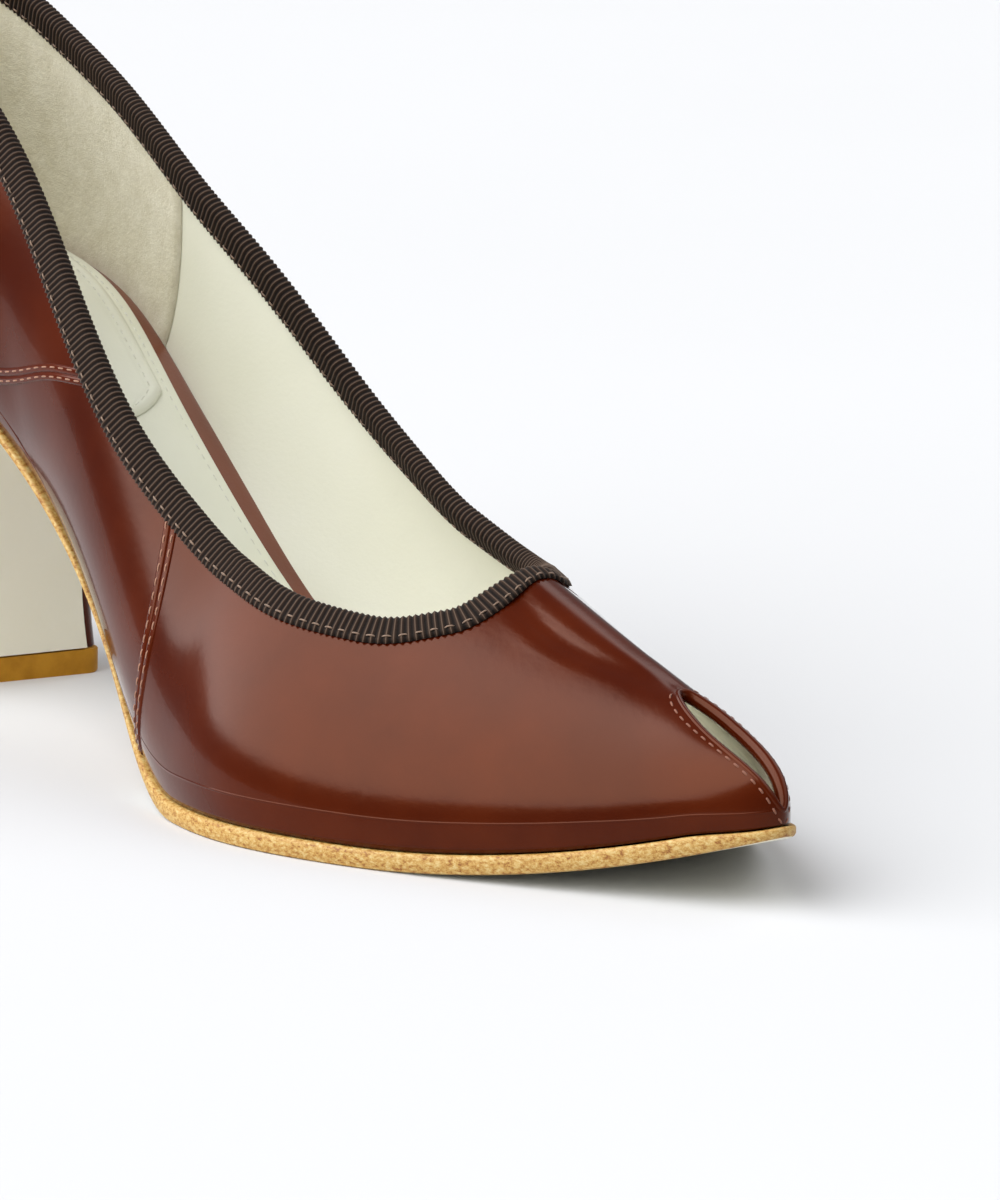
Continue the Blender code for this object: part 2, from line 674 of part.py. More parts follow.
def main():
    clear_scene()
    collection = bpy.data.collections.new("peep toe pump")
    bpy.context.scene.collection.children.link(collection)
    makers = (make_upper, make_binding, make_outsole, make_insole, make_sock, make_heel_pad,
              make_heel, make_breast_cover, make_top_piece)
    centre_on_floor([maker(collection) for maker in makers])


main()
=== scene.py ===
"""Looks of the peep toe pump: patent leather upper, ribbon binding, linings, sole, heel, stitches.

Lengths are in metres. The shoe is worked out with its heel at X = 0, from the same named sizes as
its solids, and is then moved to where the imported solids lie.
"""
from collections import namedtuple

import bmesh
import bpy
import numpy as np
from mathutils import Matrix, Vector


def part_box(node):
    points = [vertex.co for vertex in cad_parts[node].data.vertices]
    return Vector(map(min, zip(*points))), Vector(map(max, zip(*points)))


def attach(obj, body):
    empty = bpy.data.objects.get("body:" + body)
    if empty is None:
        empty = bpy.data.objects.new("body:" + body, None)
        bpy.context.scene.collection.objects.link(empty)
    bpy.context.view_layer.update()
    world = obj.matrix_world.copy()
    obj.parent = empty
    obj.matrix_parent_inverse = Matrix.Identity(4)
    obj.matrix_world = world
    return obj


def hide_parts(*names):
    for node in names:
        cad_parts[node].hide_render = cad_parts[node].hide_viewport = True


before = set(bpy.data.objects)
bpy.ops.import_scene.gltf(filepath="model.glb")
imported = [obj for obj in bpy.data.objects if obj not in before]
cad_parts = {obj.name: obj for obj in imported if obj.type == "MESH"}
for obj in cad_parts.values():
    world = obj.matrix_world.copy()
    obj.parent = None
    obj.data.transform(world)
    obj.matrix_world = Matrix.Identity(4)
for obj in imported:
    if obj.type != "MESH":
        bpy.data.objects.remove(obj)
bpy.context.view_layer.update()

# Sizes shared with the solids
LENGTH = 0.228
BALL_WIDTH = 0.074
HEEL_HEIGHT = 0.0653
TOE_SPRING = 0.0105
TREAD_START = 0.60 * LENGTH
TREAD_END = 0.76 * LENGTH
INSTEP_HEIGHT = 0.085
SIDE_HEIGHT = 0.040
THROAT = 0.1735
TOE_SWING = 0.0015

UPPER_WALL = 0.0018
FEATHER_INSET = 0.0008
HEEL_CENTRE = 0.030
TOE_CENTRE = 0.211
FAN_BLEND = 0.008
RIDGE_ROUND = 0.0030

SLIT_REAR = 0.2055
SLIT_LENGTH = 0.0255
SLIT_WIDTH = 0.0070
SLIT_DIP = 0.54

SOLE_THICKNESS = 0.0028
INSOLE_THICKNESS = 0.0024
SOCK_THICKNESS = 0.0009
SOCK_MARGIN_HEEL = 0.0022
SOCK_MARGIN_FORE = 0.0046
SOCK_START = 0.004
SOCK_TO_TOE = 0.023
SOCK_END = LENGTH - SOCK_TO_TOE
PAD_THICKNESS = 0.0012
PAD_MARGIN = 0.0030
PAD_START = 0.0085
PAD_END = 0.0790

BINDING_OUTER_LEG = 0.0037
BINDING_INNER_LEG = 0.0035
BINDING_THICKNESS = 0.0007

TOP_PIECE_THICKNESS = 0.0040
HEEL_BASE_BACK = 0.0050
HEEL_BASE_FRONT = 0.0416
HEEL_BASE_WIDTH = 0.0430
HEEL_TOP_FRONT = 0.0530
HEEL_SEAT_INSET = 0.0012
HEEL_PINCH = 0.0020
HEEL_CORNER = 0.0030
BREAST_SKEW = np.radians(7.5)
BREAST_COVER_THICKNESS = 0.0008
BREAST_COVER_MARGIN = 0.0020
SEAT_GAP = 0.0003

# The sole's visible edge is thinner than its solid along the waist and at the tip
WAIST_SHARE = 0.48
WAIST_END = 0.50 * LENGTH
WAIST_BLEND = 0.10 * LENGTH
TIP_SHARE = 0.55
TIP_BLEND = 0.05 * LENGTH

# Sizes of the finer pieces
LEATHER_THICKNESS = 0.0009
LINING_GAP = 0.00005
GRIP_THICKNESS = 0.00012
GRIP_FRONT_TOP = 0.0715
GRIP_FRONT_LOW = 0.0645
RIB_PITCH = 0.00095
RIB_HEIGHT = 0.00016
RIB_RINGS = 4
RIBBON_GROOVE = 0.0001
SCALLOP = 0.00022
STITCH_PITCH = 0.0021
STITCH_LENGTH = 0.0012
THREAD_RADIUS = 0.00012
SOCK_THREAD_RADIUS = 0.00010
SLIT_THREAD_RADII = (0.00013, 0.00009)
RIBBON_LIFT = 0.00004
THROAT_EASE = 0.0055
THROAT_LEG_SHARES = (0.60, 0.30)
FRAME_EASE = 0.0016
SEAM_STRIP_WIDTH = 0.0026
SEAM_STRIP_HEIGHT = 0.00028
SEAM_SINK = 0.00003
SEAM_STITCHES_ASIDE = 0.56
SEAM_POINTS = 260
SLIT_STITCH_INSET = 0.0018
FEATHER_LINE_SPAN = (0.22, 0.985)
FEATHER_LINE_HEIGHT = 0.0043
FEATHER_LINE_WIDTH = 0.00022
FEATHER_LINE_RISE = 0.00006
SLIT_FOLD_HEIGHT = 0.00105
SLIT_FOLD_WIDTH = 0.00070
SOCK_STITCH_INSET = 0.0016
SOLE_LINE_HEIGHT = 0.0004

HEEL_TO_THROAT = 150
THROAT_TO_SLIT = 30
SLIT_TO_TOE = 44
WALL_ROWS = 46
SOLE_ROWS = 240
SOLE_ACROSS = 24
HEEL_STATIONS = 96
HEEL_LEVELS = 40
THREAD_SIDES = 6

# Sections of the last, heel to toe, as in the solids
Section = namedtuple("Section", "along outer inner outer_flare inner_flare side_full top_full "
                                "outer_roof inner_roof")
LAST = [
    Section(0.00, 0.000, 0.000, 0.065, 0.065, 0.30, 0.58, 0.00, 0.00),
    Section(0.03, 0.189, 0.189, 0.072, 0.072, 0.30, 0.50, 0.00, 0.00),
    Section(0.10, 0.304, 0.304, 0.088, 0.088, 0.30, 0.25, 0.00, 0.00),
    Section(0.20, 0.318, 0.311, 0.108, 0.088, 0.30, 0.11, 0.00, 0.00),
    Section(0.33, 0.291, 0.223, 0.150, 0.160, 0.30, 0.15, 0.00, 0.00),
    Section(0.45, 0.324, 0.196, 0.220, 0.345, 0.31, 0.28, 0.16, 0.16),
    Section(0.56, 0.459, 0.291, 0.090, 0.270, 0.34, 0.42, 0.35, 0.43),
    Section(0.66, 0.528, 0.412, 0.040, 0.130, 0.40, 0.44, 0.55, 0.70),
    Section(0.74, 0.478, 0.459, 0.014, 0.040, 0.43, 0.47, 0.64, 0.86),
    Section(0.82, 0.370, 0.399, 0.014, 0.012, 0.46, 0.48, 0.68, 1.00),
    Section(0.90, 0.238, 0.266, 0.010, 0.010, 0.48, 0.50, 0.72, 1.00),
    Section(0.96, 0.128, 0.121, 0.007, 0.007, 0.55, 0.55, 0.60, 0.70),
    Section(1.00, 0.000, 0.000, 0.007, 0.007, 0.60, 0.60, 0.60, 0.60),
]
# Heights over the places along the sole: of its underside at the arch, and of the crown above it
ARCH = [(0.00, 1.000), (0.08, 0.985), (0.16, 0.940), (0.24, 0.858), (0.32, 0.702),
        (0.40, 0.478), (0.48, 0.214), (0.55, 0.046)]
CROWN = [(0.00, 1.00), (0.20, 1.01), (0.35, 0.97), (0.50, 0.865), (0.60, 0.690), (0.66, 0.592),
         (0.72, 0.513), (0.78, 0.446), (0.84, 0.371), (0.88, 0.314), (0.925, 0.244), (1.00, 0.14)]
# Topline over the sole. Its inner side near the throat is a little higher than the solids' own
Collar = namedtuple("Collar", "along outer inner")
COLLAR = [
    Collar(0.000, 1.435, 1.435),
    Collar(0.058, 1.370, 1.350),
    Collar(0.115, 1.300, 1.255),
    Collar(0.213, 1.215, 1.100),
    Collar(0.346, 1.160, 1.000),
    Collar(0.438, 1.075, 0.990),
    Collar(0.530, 1.005, 1.020),
    Collar(0.628, 1.015, 1.060),
    Collar(0.736, 1.020, 1.090),
    Collar(0.789, 0.965, 1.030),
    Collar(0.844, 0.890, 0.945),
    Collar(0.916, 0.838, 0.918),
    Collar(0.951, 0.835, 0.955),
    Collar(0.980, 0.870, 0.983),
    Collar(0.994, 0.922, 0.988),
    Collar(1.000, 0.985, 0.985),
    Collar(1.030, 1.250, 1.250),
]

OUTER, INNER = 0, 1
UP = np.array([0.0, 0.0, 1.0])


def unit(vectors):
    return vectors / np.linalg.norm(vectors, axis=-1, keepdims=True)


def smooth(share):
    share = np.clip(share, 0, 1)
    return share ** 2 * (3 - 2 * share)


def path_lengths(points):
    """Length along a path up to each of its points."""
    steps = np.linalg.norm(np.diff(points, axis=0), axis=1)
    return np.concatenate([[0], np.cumsum(steps)])


def rows_at(at, places, rows):
    """Rows of numbers, which are known at places, read between them."""
    return np.stack([np.interp(at, places, column) for column in rows.T], -1)


def spline(knots, values, start=None, end=None):
    """Smooth curve through values at knots. start and end are its slopes there, if they are set."""
    x = np.asarray(knots, float)
    y = np.asarray(values, float)
    n = len(x)
    h = np.diff(x)
    a = np.zeros((n, n))
    b = np.zeros((n,) + y.shape[1:])
    for i in range(1, n - 1):
        a[i, i - 1], a[i, i], a[i, i + 1] = h[i - 1], 2 * (h[i - 1] + h[i]), h[i]
        b[i] = 6 * ((y[i + 1] - y[i]) / h[i] - (y[i] - y[i - 1]) / h[i - 1])
    a[0, 0] = a[-1, -1] = 1.0
    if start is not None:
        a[0, 0], a[0, 1] = 2 * h[0], h[0]
        b[0] = 6 * ((y[1] - y[0]) / h[0] - start)
    if end is not None:
        a[-1, -2], a[-1, -1] = h[-1], 2 * h[-1]
        b[-1] = 6 * (end - (y[-1] - y[-2]) / h[-1])
    m = np.linalg.solve(a, b)

    def curve(at):
        at = np.asarray(at, float)
        i = np.clip(np.searchsorted(x, at) - 1, 0, n - 2)
        left, right = at - x[i], x[i + 1] - at
        width = h[i]
        if y.ndim > 1:
            left, right, width = left[..., None], right[..., None], width[..., None]
        return (m[i] * right ** 3 + m[i + 1] * left ** 3) / (6 * width) + \
            (y[i] / width - m[i] * width / 6) * right + (y[i + 1] / width - m[i + 1] * width / 6) * left

    return curve


arch_curve = spline([row[0] * LENGTH for row in ARCH] + [TREAD_START],
                    [row[1] * HEEL_HEIGHT for row in ARCH] + [0.0], end=0.0)
crown_curve = spline([row[0] * LENGTH for row in CROWN], [row[1] * INSTEP_HEIGHT for row in CROWN])
collar_curves = [spline([row.along * THROAT for row in COLLAR],
                        [row[1 + side] * SIDE_HEIGHT for row in COLLAR]) for side in (OUTER, INNER)]


def underside(x):
    """Height of the sole's underside: heel seat, arch, flat tread and toe spring."""
    x = np.asarray(x, float)
    spring = TOE_SPRING * (np.clip(x - TREAD_END, 0, None) / (LENGTH - TREAD_END)) ** 2
    return np.where(x < TREAD_START, arch_curve(np.minimum(x, TREAD_START)), spring)


def swing(x):
    """How far the middle line has turned inwards at x."""
    return TOE_SWING * (np.asarray(x, float) / LENGTH) ** 2


def outline_loop():
    """Closed smooth outline of the sole, as a curve over the numbers of its sections."""
    outer = [(row.along * LENGTH, -row.outer * BALL_WIDTH) for row in LAST]
    inner = [(row.along * LENGTH, row.inner * BALL_WIDTH) for row in LAST]
    loop = np.array(outer + inner[-2:0:-1])
    loop[:, 1] += swing(loop[:, 0])
    laps = np.vstack([loop, loop, loop, loop[:1]])
    chords = path_lengths(laps)
    curve = spline(chords, laps)
    count = len(loop)
    numbers = np.arange(len(laps)) - count

    def at(number):
        return curve(np.interp(number, numbers, chords))

    return at, count


outline_at, OUTLINE_COUNT = outline_loop()
LAST_ROW = len(LAST) - 1


def outline(side, t, inset=0.0):
    """Point of the sole's outline at t, which is 0 at the heel and 1 at the toe."""
    number = np.asarray(t, float) * LAST_ROW
    number = number if side == OUTER else OUTLINE_COUNT - number
    step = 0.01
    point = outline_at(number)
    along = unit(outline_at(number + step) - outline_at(number - step))
    inward = np.stack([-along[..., 1], along[..., 0]], -1)
    return point + inward * np.asarray(inset)[..., None]


def outline_middle(t):
    """X of the middle between both sides of the outline."""
    return 0.5 * (outline(OUTER, t)[..., 0] + outline(INNER, t)[..., 0])


section_curves = {name: spline(np.arange(len(LAST)), [getattr(row, name) for row in LAST],
                               start=0.0, end=0.0) for name in Section._fields[3:]}


def section_value(name, t):
    return section_curves[name](np.asarray(t, float) * LAST_ROW)


def soft_limit(value, limit, sign):
    """Value kept below the limit for sign 1, or above it for sign -1, with a soft bend."""
    over = sign * (value - limit)
    return value - sign * 0.5 * (over + np.sqrt(over ** 2 + FAN_BLEND ** 2))


def spine(t):
    """Middle line that the sections reach up to. It stops short of heel and toe."""
    x = soft_limit(soft_limit(outline_middle(t), TOE_CENTRE, 1), HEEL_CENTRE, -1)
    return np.stack([x, swing(x)], -1)


def crown(x):
    return underside(x) + crown_curve(x)


def sole_depth(x):
    """Thickness of the sole's edge: thin along the waist and at the tip of the toe."""
    waist = WAIST_SHARE + (1 - WAIST_SHARE) * smooth((x - WAIST_END) / WAIST_BLEND)
    tip = 1 - (1 - TIP_SHARE) * smooth((x - LENGTH + TIP_BLEND) / TIP_BLEND)
    return SOLE_THICKNESS * waist * tip


def feather(side, t):
    """Lower edge of the upper, just above the sole and inside its edge."""
    point = outline(side, t, FEATHER_INSET)
    height = underside(point[..., 0]) + sole_depth(point[..., 0]) + SEAT_GAP
    return np.concatenate([point, height[..., None]], -1)


def upper_point(side, t, v):
    """Outer face of the upper: v is 0 at the sole and 1 at the crown."""
    t, v = np.broadcast_arrays(np.asarray(t, float), np.asarray(v, float))
    name = "outer" if side == OUTER else "inner"
    foot = feather(side, t)
    middle = spine(t)
    out = foot[..., :2] - middle
    reach = np.linalg.norm(out, axis=-1, keepdims=True)
    out = np.concatenate([out / reach, np.zeros_like(reach)], -1)
    roof = section_value(name + "_roof", t) * np.abs(out[..., 1])
    top = np.concatenate([middle, (crown(middle[..., 0]) + roof * RIDGE_ROUND)[..., None]], -1)
    step = 0.001
    slope = (crown(middle[..., 0] + step) - crown(middle[..., 0] - step)) / (2 * step) * out[..., 0]
    flare = section_value(name + "_flare", t)[..., None] * BALL_WIDTH
    rise = (top - foot)[..., 2:] * section_value("side_full", t)[..., None]
    shoulder = reach * section_value("top_full", t)[..., None]
    lower = foot + out * flare + UP * rise
    higher = top + out * shoulder + UP * (slope - roof)[..., None] * shoulder
    w = v[..., None]
    point = (1 - w) ** 3 * foot + 3 * (1 - w) ** 2 * w * lower + \
        3 * (1 - w) * w ** 2 * higher + w ** 3 * top
    away = np.linalg.norm(point[..., :2] - middle, axis=-1)
    round_off = roof * (np.hypot(away, RIDGE_ROUND) - away)
    return point - UP * (round_off * v ** 3)[..., None]


def upper_normal(side, t, v):
    """Outward normal of the upper's outer face."""
    step = 1e-3
    t0, t1 = np.clip(t - step, 0, 1), np.clip(t + step, 0, 1)
    v0, v1 = np.clip(v - step, 0, 1), np.clip(v + step, 0, 1)
    by_t = upper_point(side, t1, v) - upper_point(side, t0, v)
    by_v = upper_point(side, t, v1) - upper_point(side, t, v0)
    return unit(np.cross(by_t, by_v) if side == OUTER else np.cross(by_v, by_t))


def collar_cut(side, x):
    """Height of the upper's edge. The ribbon over it rises to the finished topline."""
    height = collar_curves[side](np.clip(x, 0, THROAT * COLLAR[-1].along))
    return underside(x) + height - BINDING_THICKNESS - SEAT_GAP


def collar_excess(side, points):
    """How far points lie above the collar's cut."""
    x = points[..., 0]
    return np.where(x > THROAT * COLLAR[-1].along, -1.0, points[..., 2] - collar_cut(side, x))


def slit_excess(side, points):
    """How far points lie inside the toe slit, across its middle line."""
    fall = crown(SLIT_REAR) - points[..., 2]
    forward = points[..., 0] - SLIT_REAR
    share = (forward + SLIT_DIP * fall) / np.hypot(1, SLIT_DIP) / SLIT_LENGTH
    inside = np.clip(share, 0, 1)
    half = 0.5 * SLIT_WIDTH * np.sqrt(np.sin(np.pi * inside ** 0.9))
    outside = np.abs(share - inside) * SLIT_LENGTH
    return half - outside - np.abs(points[..., 1] - swing(points[..., 0]))


def side_trims(side, columns):
    """Height v at which each section first meets the collar or the slit."""
    v = np.linspace(0.02, 1, 500)
    points = upper_point(side, columns[:, None], v[None, :])
    excess = np.maximum(collar_excess(side, points), slit_excess(side, points))
    first = np.argmax(excess > 0, axis=1)
    rows = np.arange(len(columns))
    before = np.maximum(first - 1, 0)
    low, high = excess[rows, before], excess[rows, first]
    share = low / np.where(first > 0, low - high, 1.0)
    return np.where(first > 0, v[before] + (v[first] - v[before]) * share, 1.0)


def solve_t(test):
    """The t at which a test of the spine point changes sign."""
    low, high = 0.3, 0.999
    for _ in range(40):
        middle = 0.5 * (low + high)
        low, high = (middle, high) if test(float(spine(middle)[0])) > 0 else (low, middle)
    return 0.5 * (low + high)


def column_places():
    """Values of t for the columns of the upper, closer together at the throat and the slit."""
    throat = solve_t(lambda x: crown(x) - collar_cut(OUTER, x))
    slit = solve_t(lambda x: SLIT_REAR - x)
    to_throat = throat * (1 - (1 - np.linspace(0, 1, HEEL_TO_THROAT + 1)) ** 2.1)
    to_slit = np.linspace(throat, slit, THROAT_TO_SLIT + 1)
    to_toe = slit + (1 - slit) * np.linspace(0, 1, SLIT_TO_TOE + 1) ** 1.4
    return np.concatenate([to_throat, to_slit[1:], to_toe[1:]])


def column_trims():
    """Trim of every column. Both sides share heel, toe, and the ridge from throat to slit."""
    trims = [side_trims(side, COLUMNS) for side in (OUTER, INNER)]
    for side in (OUTER, INNER):
        trims[side][HEEL_TO_THROAT:HEEL_TO_THROAT + THROAT_TO_SLIT + 1] = 1.0
    trims[INNER][[0, -1]] = trims[OUTER][[0, -1]]
    return trims


COLUMNS = column_places()
TRIMS = column_trims()


def outline_box():
    """Lowest and highest corner of the sole's outline."""
    t = np.linspace(0, 1, 2000)
    loop = np.concatenate([outline(OUTER, t), outline(INNER, t)])
    return loop.min(axis=0), loop.max(axis=0)


def frame_shift():
    """Move from the heel at X = 0 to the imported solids."""
    low, high = outline_box()
    box_low, box_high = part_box("outsole")
    return np.array([(box_low[0] + box_high[0] - low[0] - high[0]) / 2,
                     (box_low[1] + box_high[1] - low[1] - high[1]) / 2, 0.0])


SHIFT = frame_shift()


def new_piece(name, points, faces, material, sharp, replaces=None, uvs=None):
    """Piece of the shoe, from points in the shoe's own place. Edges over sharp degrees stay sharp."""
    mesh = bpy.data.meshes.new(name)
    mesh.from_pydata((np.asarray(points) + SHIFT).tolist(), [], [list(face) for face in faces])
    if uvs is not None:
        layer = mesh.uv_layers.new(name="across")
        loops = np.zeros(len(mesh.loops), dtype=np.int32)
        mesh.loops.foreach_get("vertex_index", loops)
        layer.data.foreach_set("uv", np.asarray(uvs, float)[loops].ravel())
    cage = bmesh.new()
    cage.from_mesh(mesh)
    bmesh.ops.remove_doubles(cage, verts=cage.verts, dist=2e-6)
    bmesh.ops.dissolve_degenerate(cage, edges=cage.edges, dist=1e-7)
    bmesh.ops.recalc_face_normals(cage, faces=cage.faces)
    cage.to_mesh(mesh)
    cage.free()
    mesh.materials.append(material)
    mesh.shade_smooth()
    mesh.set_sharp_from_angle(angle=np.radians(sharp))
    piece = bpy.data.objects.new(name, mesh)
    bpy.context.scene.collection.objects.link(piece)
    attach(piece, "root")
    if replaces:
        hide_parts(replaces)
    return piece


def grid_faces(rows, columns, first=0, closed=False):
    """Quads between neighbours of a grid whose points are numbered row by row."""
    i = np.arange(rows if closed else rows - 1)[:, None]
    j = np.arange(columns - 1)[None, :]
    a = first + i * columns + j
    b = first + (i + 1) % rows * columns + j
    return np.stack([a, a + 1, b + 1, b], -1).reshape(-1, 4).tolist()


def layered_piece(name, layers, material, replaces, sharp):
    """Closed solid between grids of the same shape that lie one above the other."""
    rows, columns = layers[0].shape[:2]
    count = rows * columns
    points = np.concatenate([layer.reshape(-1, 3) for layer in layers])
    faces = grid_faces(rows, columns) + grid_faces(rows, columns, count * (len(layers) - 1))
    rim = list(range(columns))
    rim += [i * columns + columns - 1 for i in range(1, rows)]
    rim += [(rows - 1) * columns + j for j in range(columns - 2, -1, -1)]
    rim += [i * columns for i in range(rows - 2, 0, -1)]
    for level in range(len(layers) - 1):
        low, high = level * count, (level + 1) * count
        faces += [(low + a, low + b, high + b, high + a) for a, b in zip(rim, rim[1:] + rim[:1])]
    used = sorted({index for face in faces for index in face})
    place = {old: new for new, old in enumerate(used)}
    faces = [[place[index] for index in face] for face in faces]
    return new_piece(name, points[used], faces, material, sharp, replaces)


def across(outer, inner, height):
    """Grid of points from the outer edge to the inner edge, at a height that follows x."""
    share = np.linspace(0, 1, SOLE_ACROSS + 1)[None, :, None]
    flat = outer[:, None, :] * (1 - share) + inner[:, None, :] * share
    return np.concatenate([flat, height(flat[..., 0])[..., None]], -1)


def face_outwards(piece):
    """Turn an open sheet so that its normals point away from its middle."""
    cage = bmesh.new()
    cage.from_mesh(piece.data)
    middle = np.mean([vertex.co[:] for vertex in cage.verts], axis=0)
    centres = [np.array(face.calc_center_median()) - middle for face in cage.faces]
    if sum(np.dot(centre, face.normal) for centre, face in zip(centres, cage.faces)) < 0:
        bmesh.ops.reverse_faces(cage, faces=cage.faces)
    cage.to_mesh(piece.data)
    cage.free()


# Creases of the leather: depth and half width, and their lines as t and v on the wall
Crease = namedtuple("Crease", "side depth half_width line")
CREASES = [
    Crease(OUTER, 0.00042, 0.0021,
           [(0.690, 0.905), (0.7057, 0.879), (0.7514, 0.839), (0.7995, 0.869), (0.850, 0.955)]),
    Crease(OUTER, -0.00016, 0.0016,
           [(0.700, 0.850), (0.735, 0.800), (0.780, 0.810), (0.820, 0.850)]),
    Crease(INNER, 0.00030, 0.0024,
           [(0.690, 0.900), (0.720, 0.850), (0.760, 0.840), (0.800, 0.880)]),
    Crease(OUTER, 0.00016, 0.0030,
           [(0.300, 0.300), (0.330, 0.220), (0.345, 0.120), (0.350, 0.040)]),
]


def crease_depth(side, points):
    """Depth of the creases at points of the wall. Each fades out at its ends."""
    depth = np.zeros(points.shape[:-1])
    share = np.linspace(0, 1, 60)
    for crease in CREASES:
        if crease.side != side:
            continue
        path = spline(np.linspace(0, 1, len(crease.line)), crease.line)(share)
        line = upper_point(side, path[:, 0], path[:, 1])
        gap = np.linalg.norm(points[..., None, :] - line, axis=-1)
        fade = np.sin(np.pi * share[np.argmin(gap, axis=-1)]) ** 0.6
        depth += crease.depth * np.exp(-(np.min(gap, axis=-1) / crease.half_width) ** 2) * fade
    return depth


def upper_sheet(inward):
    """Grid of the upper's outer face moved inwards, for both sides."""
    share = np.linspace(0, 1, WALL_ROWS + 1)[None, :]
    points = []
    for side in (OUTER, INNER):
        v = TRIMS[side][:, None] * share
        t = np.broadcast_to(COLUMNS[:, None], v.shape)
        face = upper_point(side, t, v)
        normal = upper_normal(side, t, np.minimum(v, 0.997))
        points.append(face - normal * (inward + crease_depth(side, face))[..., None])
    return points


def sheet_piece(name, sheets, thickness, material, replaces=None):
    """Open sheet over both sides, given its thickness inwards."""
    rows, columns = sheets[0].shape[:2]
    points = np.concatenate([sheet.reshape(-1, 3) for sheet in sheets])
    faces = grid_faces(rows, columns)
    faces += [face[::-1] for face in grid_faces(rows, columns, rows * columns)]
    piece = new_piece(name, points, faces, material, 60, replaces)
    face_outwards(piece)
    wall = piece.modifiers.new("wall", "SOLIDIFY")
    wall.thickness = thickness
    wall.offset = -1.0
    return piece


def joined_middle(sheets):
    """Let both sides of a moved sheet meet on the ridge, the heel line and the toe line."""
    outer, inner = sheets
    ridge = slice(HEEL_TO_THROAT, HEEL_TO_THROAT + THROAT_TO_SLIT + 1)
    for where in ((0, slice(None)), (-1, slice(None)), (ridge, -1)):
        middle = 0.5 * (outer[where] + inner[where])
        outer[where] = middle
        inner[where] = middle
    return sheets


def new_material(name, colour, roughness, coat=0.0, coat_roughness=0.03, sheen=0.0, specular=0.5,
                 coat_ior=1.5, tint=(1, 1, 1)):
    """Material whose constant values sit on the shader's own sockets."""
    material = bpy.data.materials.new(name)
    material.use_nodes = True
    shader = material.node_tree.nodes["Principled BSDF"]
    shader.inputs["Base Color"].default_value = (*colour, 1.0)
    shader.inputs["Roughness"].default_value = roughness
    shader.inputs["Coat Weight"].default_value = coat
    shader.inputs["Coat Roughness"].default_value = coat_roughness
    shader.inputs["Sheen Weight"].default_value = sheen
    shader.inputs["Specular IOR Level"].default_value = specular
    shader.inputs["Specular Tint"].default_value = (*tint, 1.0)
    shader.inputs["Coat IOR"].default_value = coat_ior
    return material


def add_node(material, kind, **values):
    node = material.node_tree.nodes.new(kind)
    for name, value in values.items():
        if name in node.inputs:
            node.inputs[name].default_value = value
        else:
            setattr(node, name, value)
    return node


def link(material, start, end):
    material.node_tree.links.new(start, end)


def noise(material, scale, detail, roughness=0.5, stretch=(1, 1, 1)):
    """Noise over the piece's own place, with a size of grain of about 1 / scale metres."""
    place = add_node(material, "ShaderNodeTexCoord")
    mapping = add_node(material, "ShaderNodeMapping")
    mapping.inputs["Scale"].default_value = stretch
    link(material, place.outputs["Object"], mapping.inputs["Vector"])
    node = add_node(material, "ShaderNodeTexNoise", Scale=scale, Detail=detail, Roughness=roughness)
    link(material, mapping.outputs["Vector"], node.inputs["Vector"])
    return node.outputs["Fac"]


def ramp(material, factor, stops):
    """Colours at places from 0 to 1."""
    node = add_node(material, "ShaderNodeValToRGB")
    elements = node.color_ramp.elements
    elements[0].position, elements[1].position = stops[0][0], stops[-1][0]
    elements[0].color, elements[1].color = (*stops[0][1], 1), (*stops[-1][1], 1)
    for position, colour in stops[1:-1]:
        elements.new(position).color = (*colour, 1)
    link(material, factor, node.inputs["Fac"])
    return node.outputs["Color"]


def vary_colour(material, factor, stops):
    shader = material.node_tree.nodes["Principled BSDF"]
    link(material, ramp(material, factor, stops), shader.inputs["Base Color"])


def vary_roughness(material, factor, low, high):
    shader = material.node_tree.nodes["Principled BSDF"]
    span = add_node(material, "ShaderNodeMapRange")
    span.inputs["To Min"].default_value = low
    span.inputs["To Max"].default_value = high
    link(material, factor, span.inputs["Value"])
    link(material, span.outputs["Result"], shader.inputs["Roughness"])


def add_bump(material, factor, height, coat=False):
    """Bump of a height in metres. Several are chained one after the other."""
    shader = material.node_tree.nodes["Principled BSDF"]
    socket = shader.inputs["Coat Normal" if coat else "Normal"]
    bump = add_node(material, "ShaderNodeBump", Strength=1.0, Distance=height)
    if socket.is_linked:
        link(material, socket.links[0].from_socket, bump.inputs["Normal"])
    link(material, factor, bump.inputs["Height"])
    link(material, bump.outputs["Normal"], socket)


def patent_material(name, painted_light_scale):
    """Brown patent leather: deep colour below a clear coat with a faint orange peel. The scale on its
    colour paints a highlight above 1 and shade below 1.
    """
    deep = tuple(painted_light_scale * c for c in (0.046, 0.0042, 0.0005))
    warm = tuple(painted_light_scale * c for c in (0.066, 0.0078, 0.0010))
    material = new_material(name, deep, 0.20, coat=1.0, coat_roughness=0.02, specular=0.27,
                            coat_ior=1.14, tint=(1.0, 0.44, 0.22))
    vary_colour(material, noise(material, 60, 4), [(0.35, deep), (0.65, warm)])
    add_bump(material, noise(material, 500, 2), 0.000008, coat=True)
    add_bump(material, noise(material, 110, 2), 0.000030, coat=True)
    add_bump(material, noise(material, 900, 3), 0.00002)
    return material


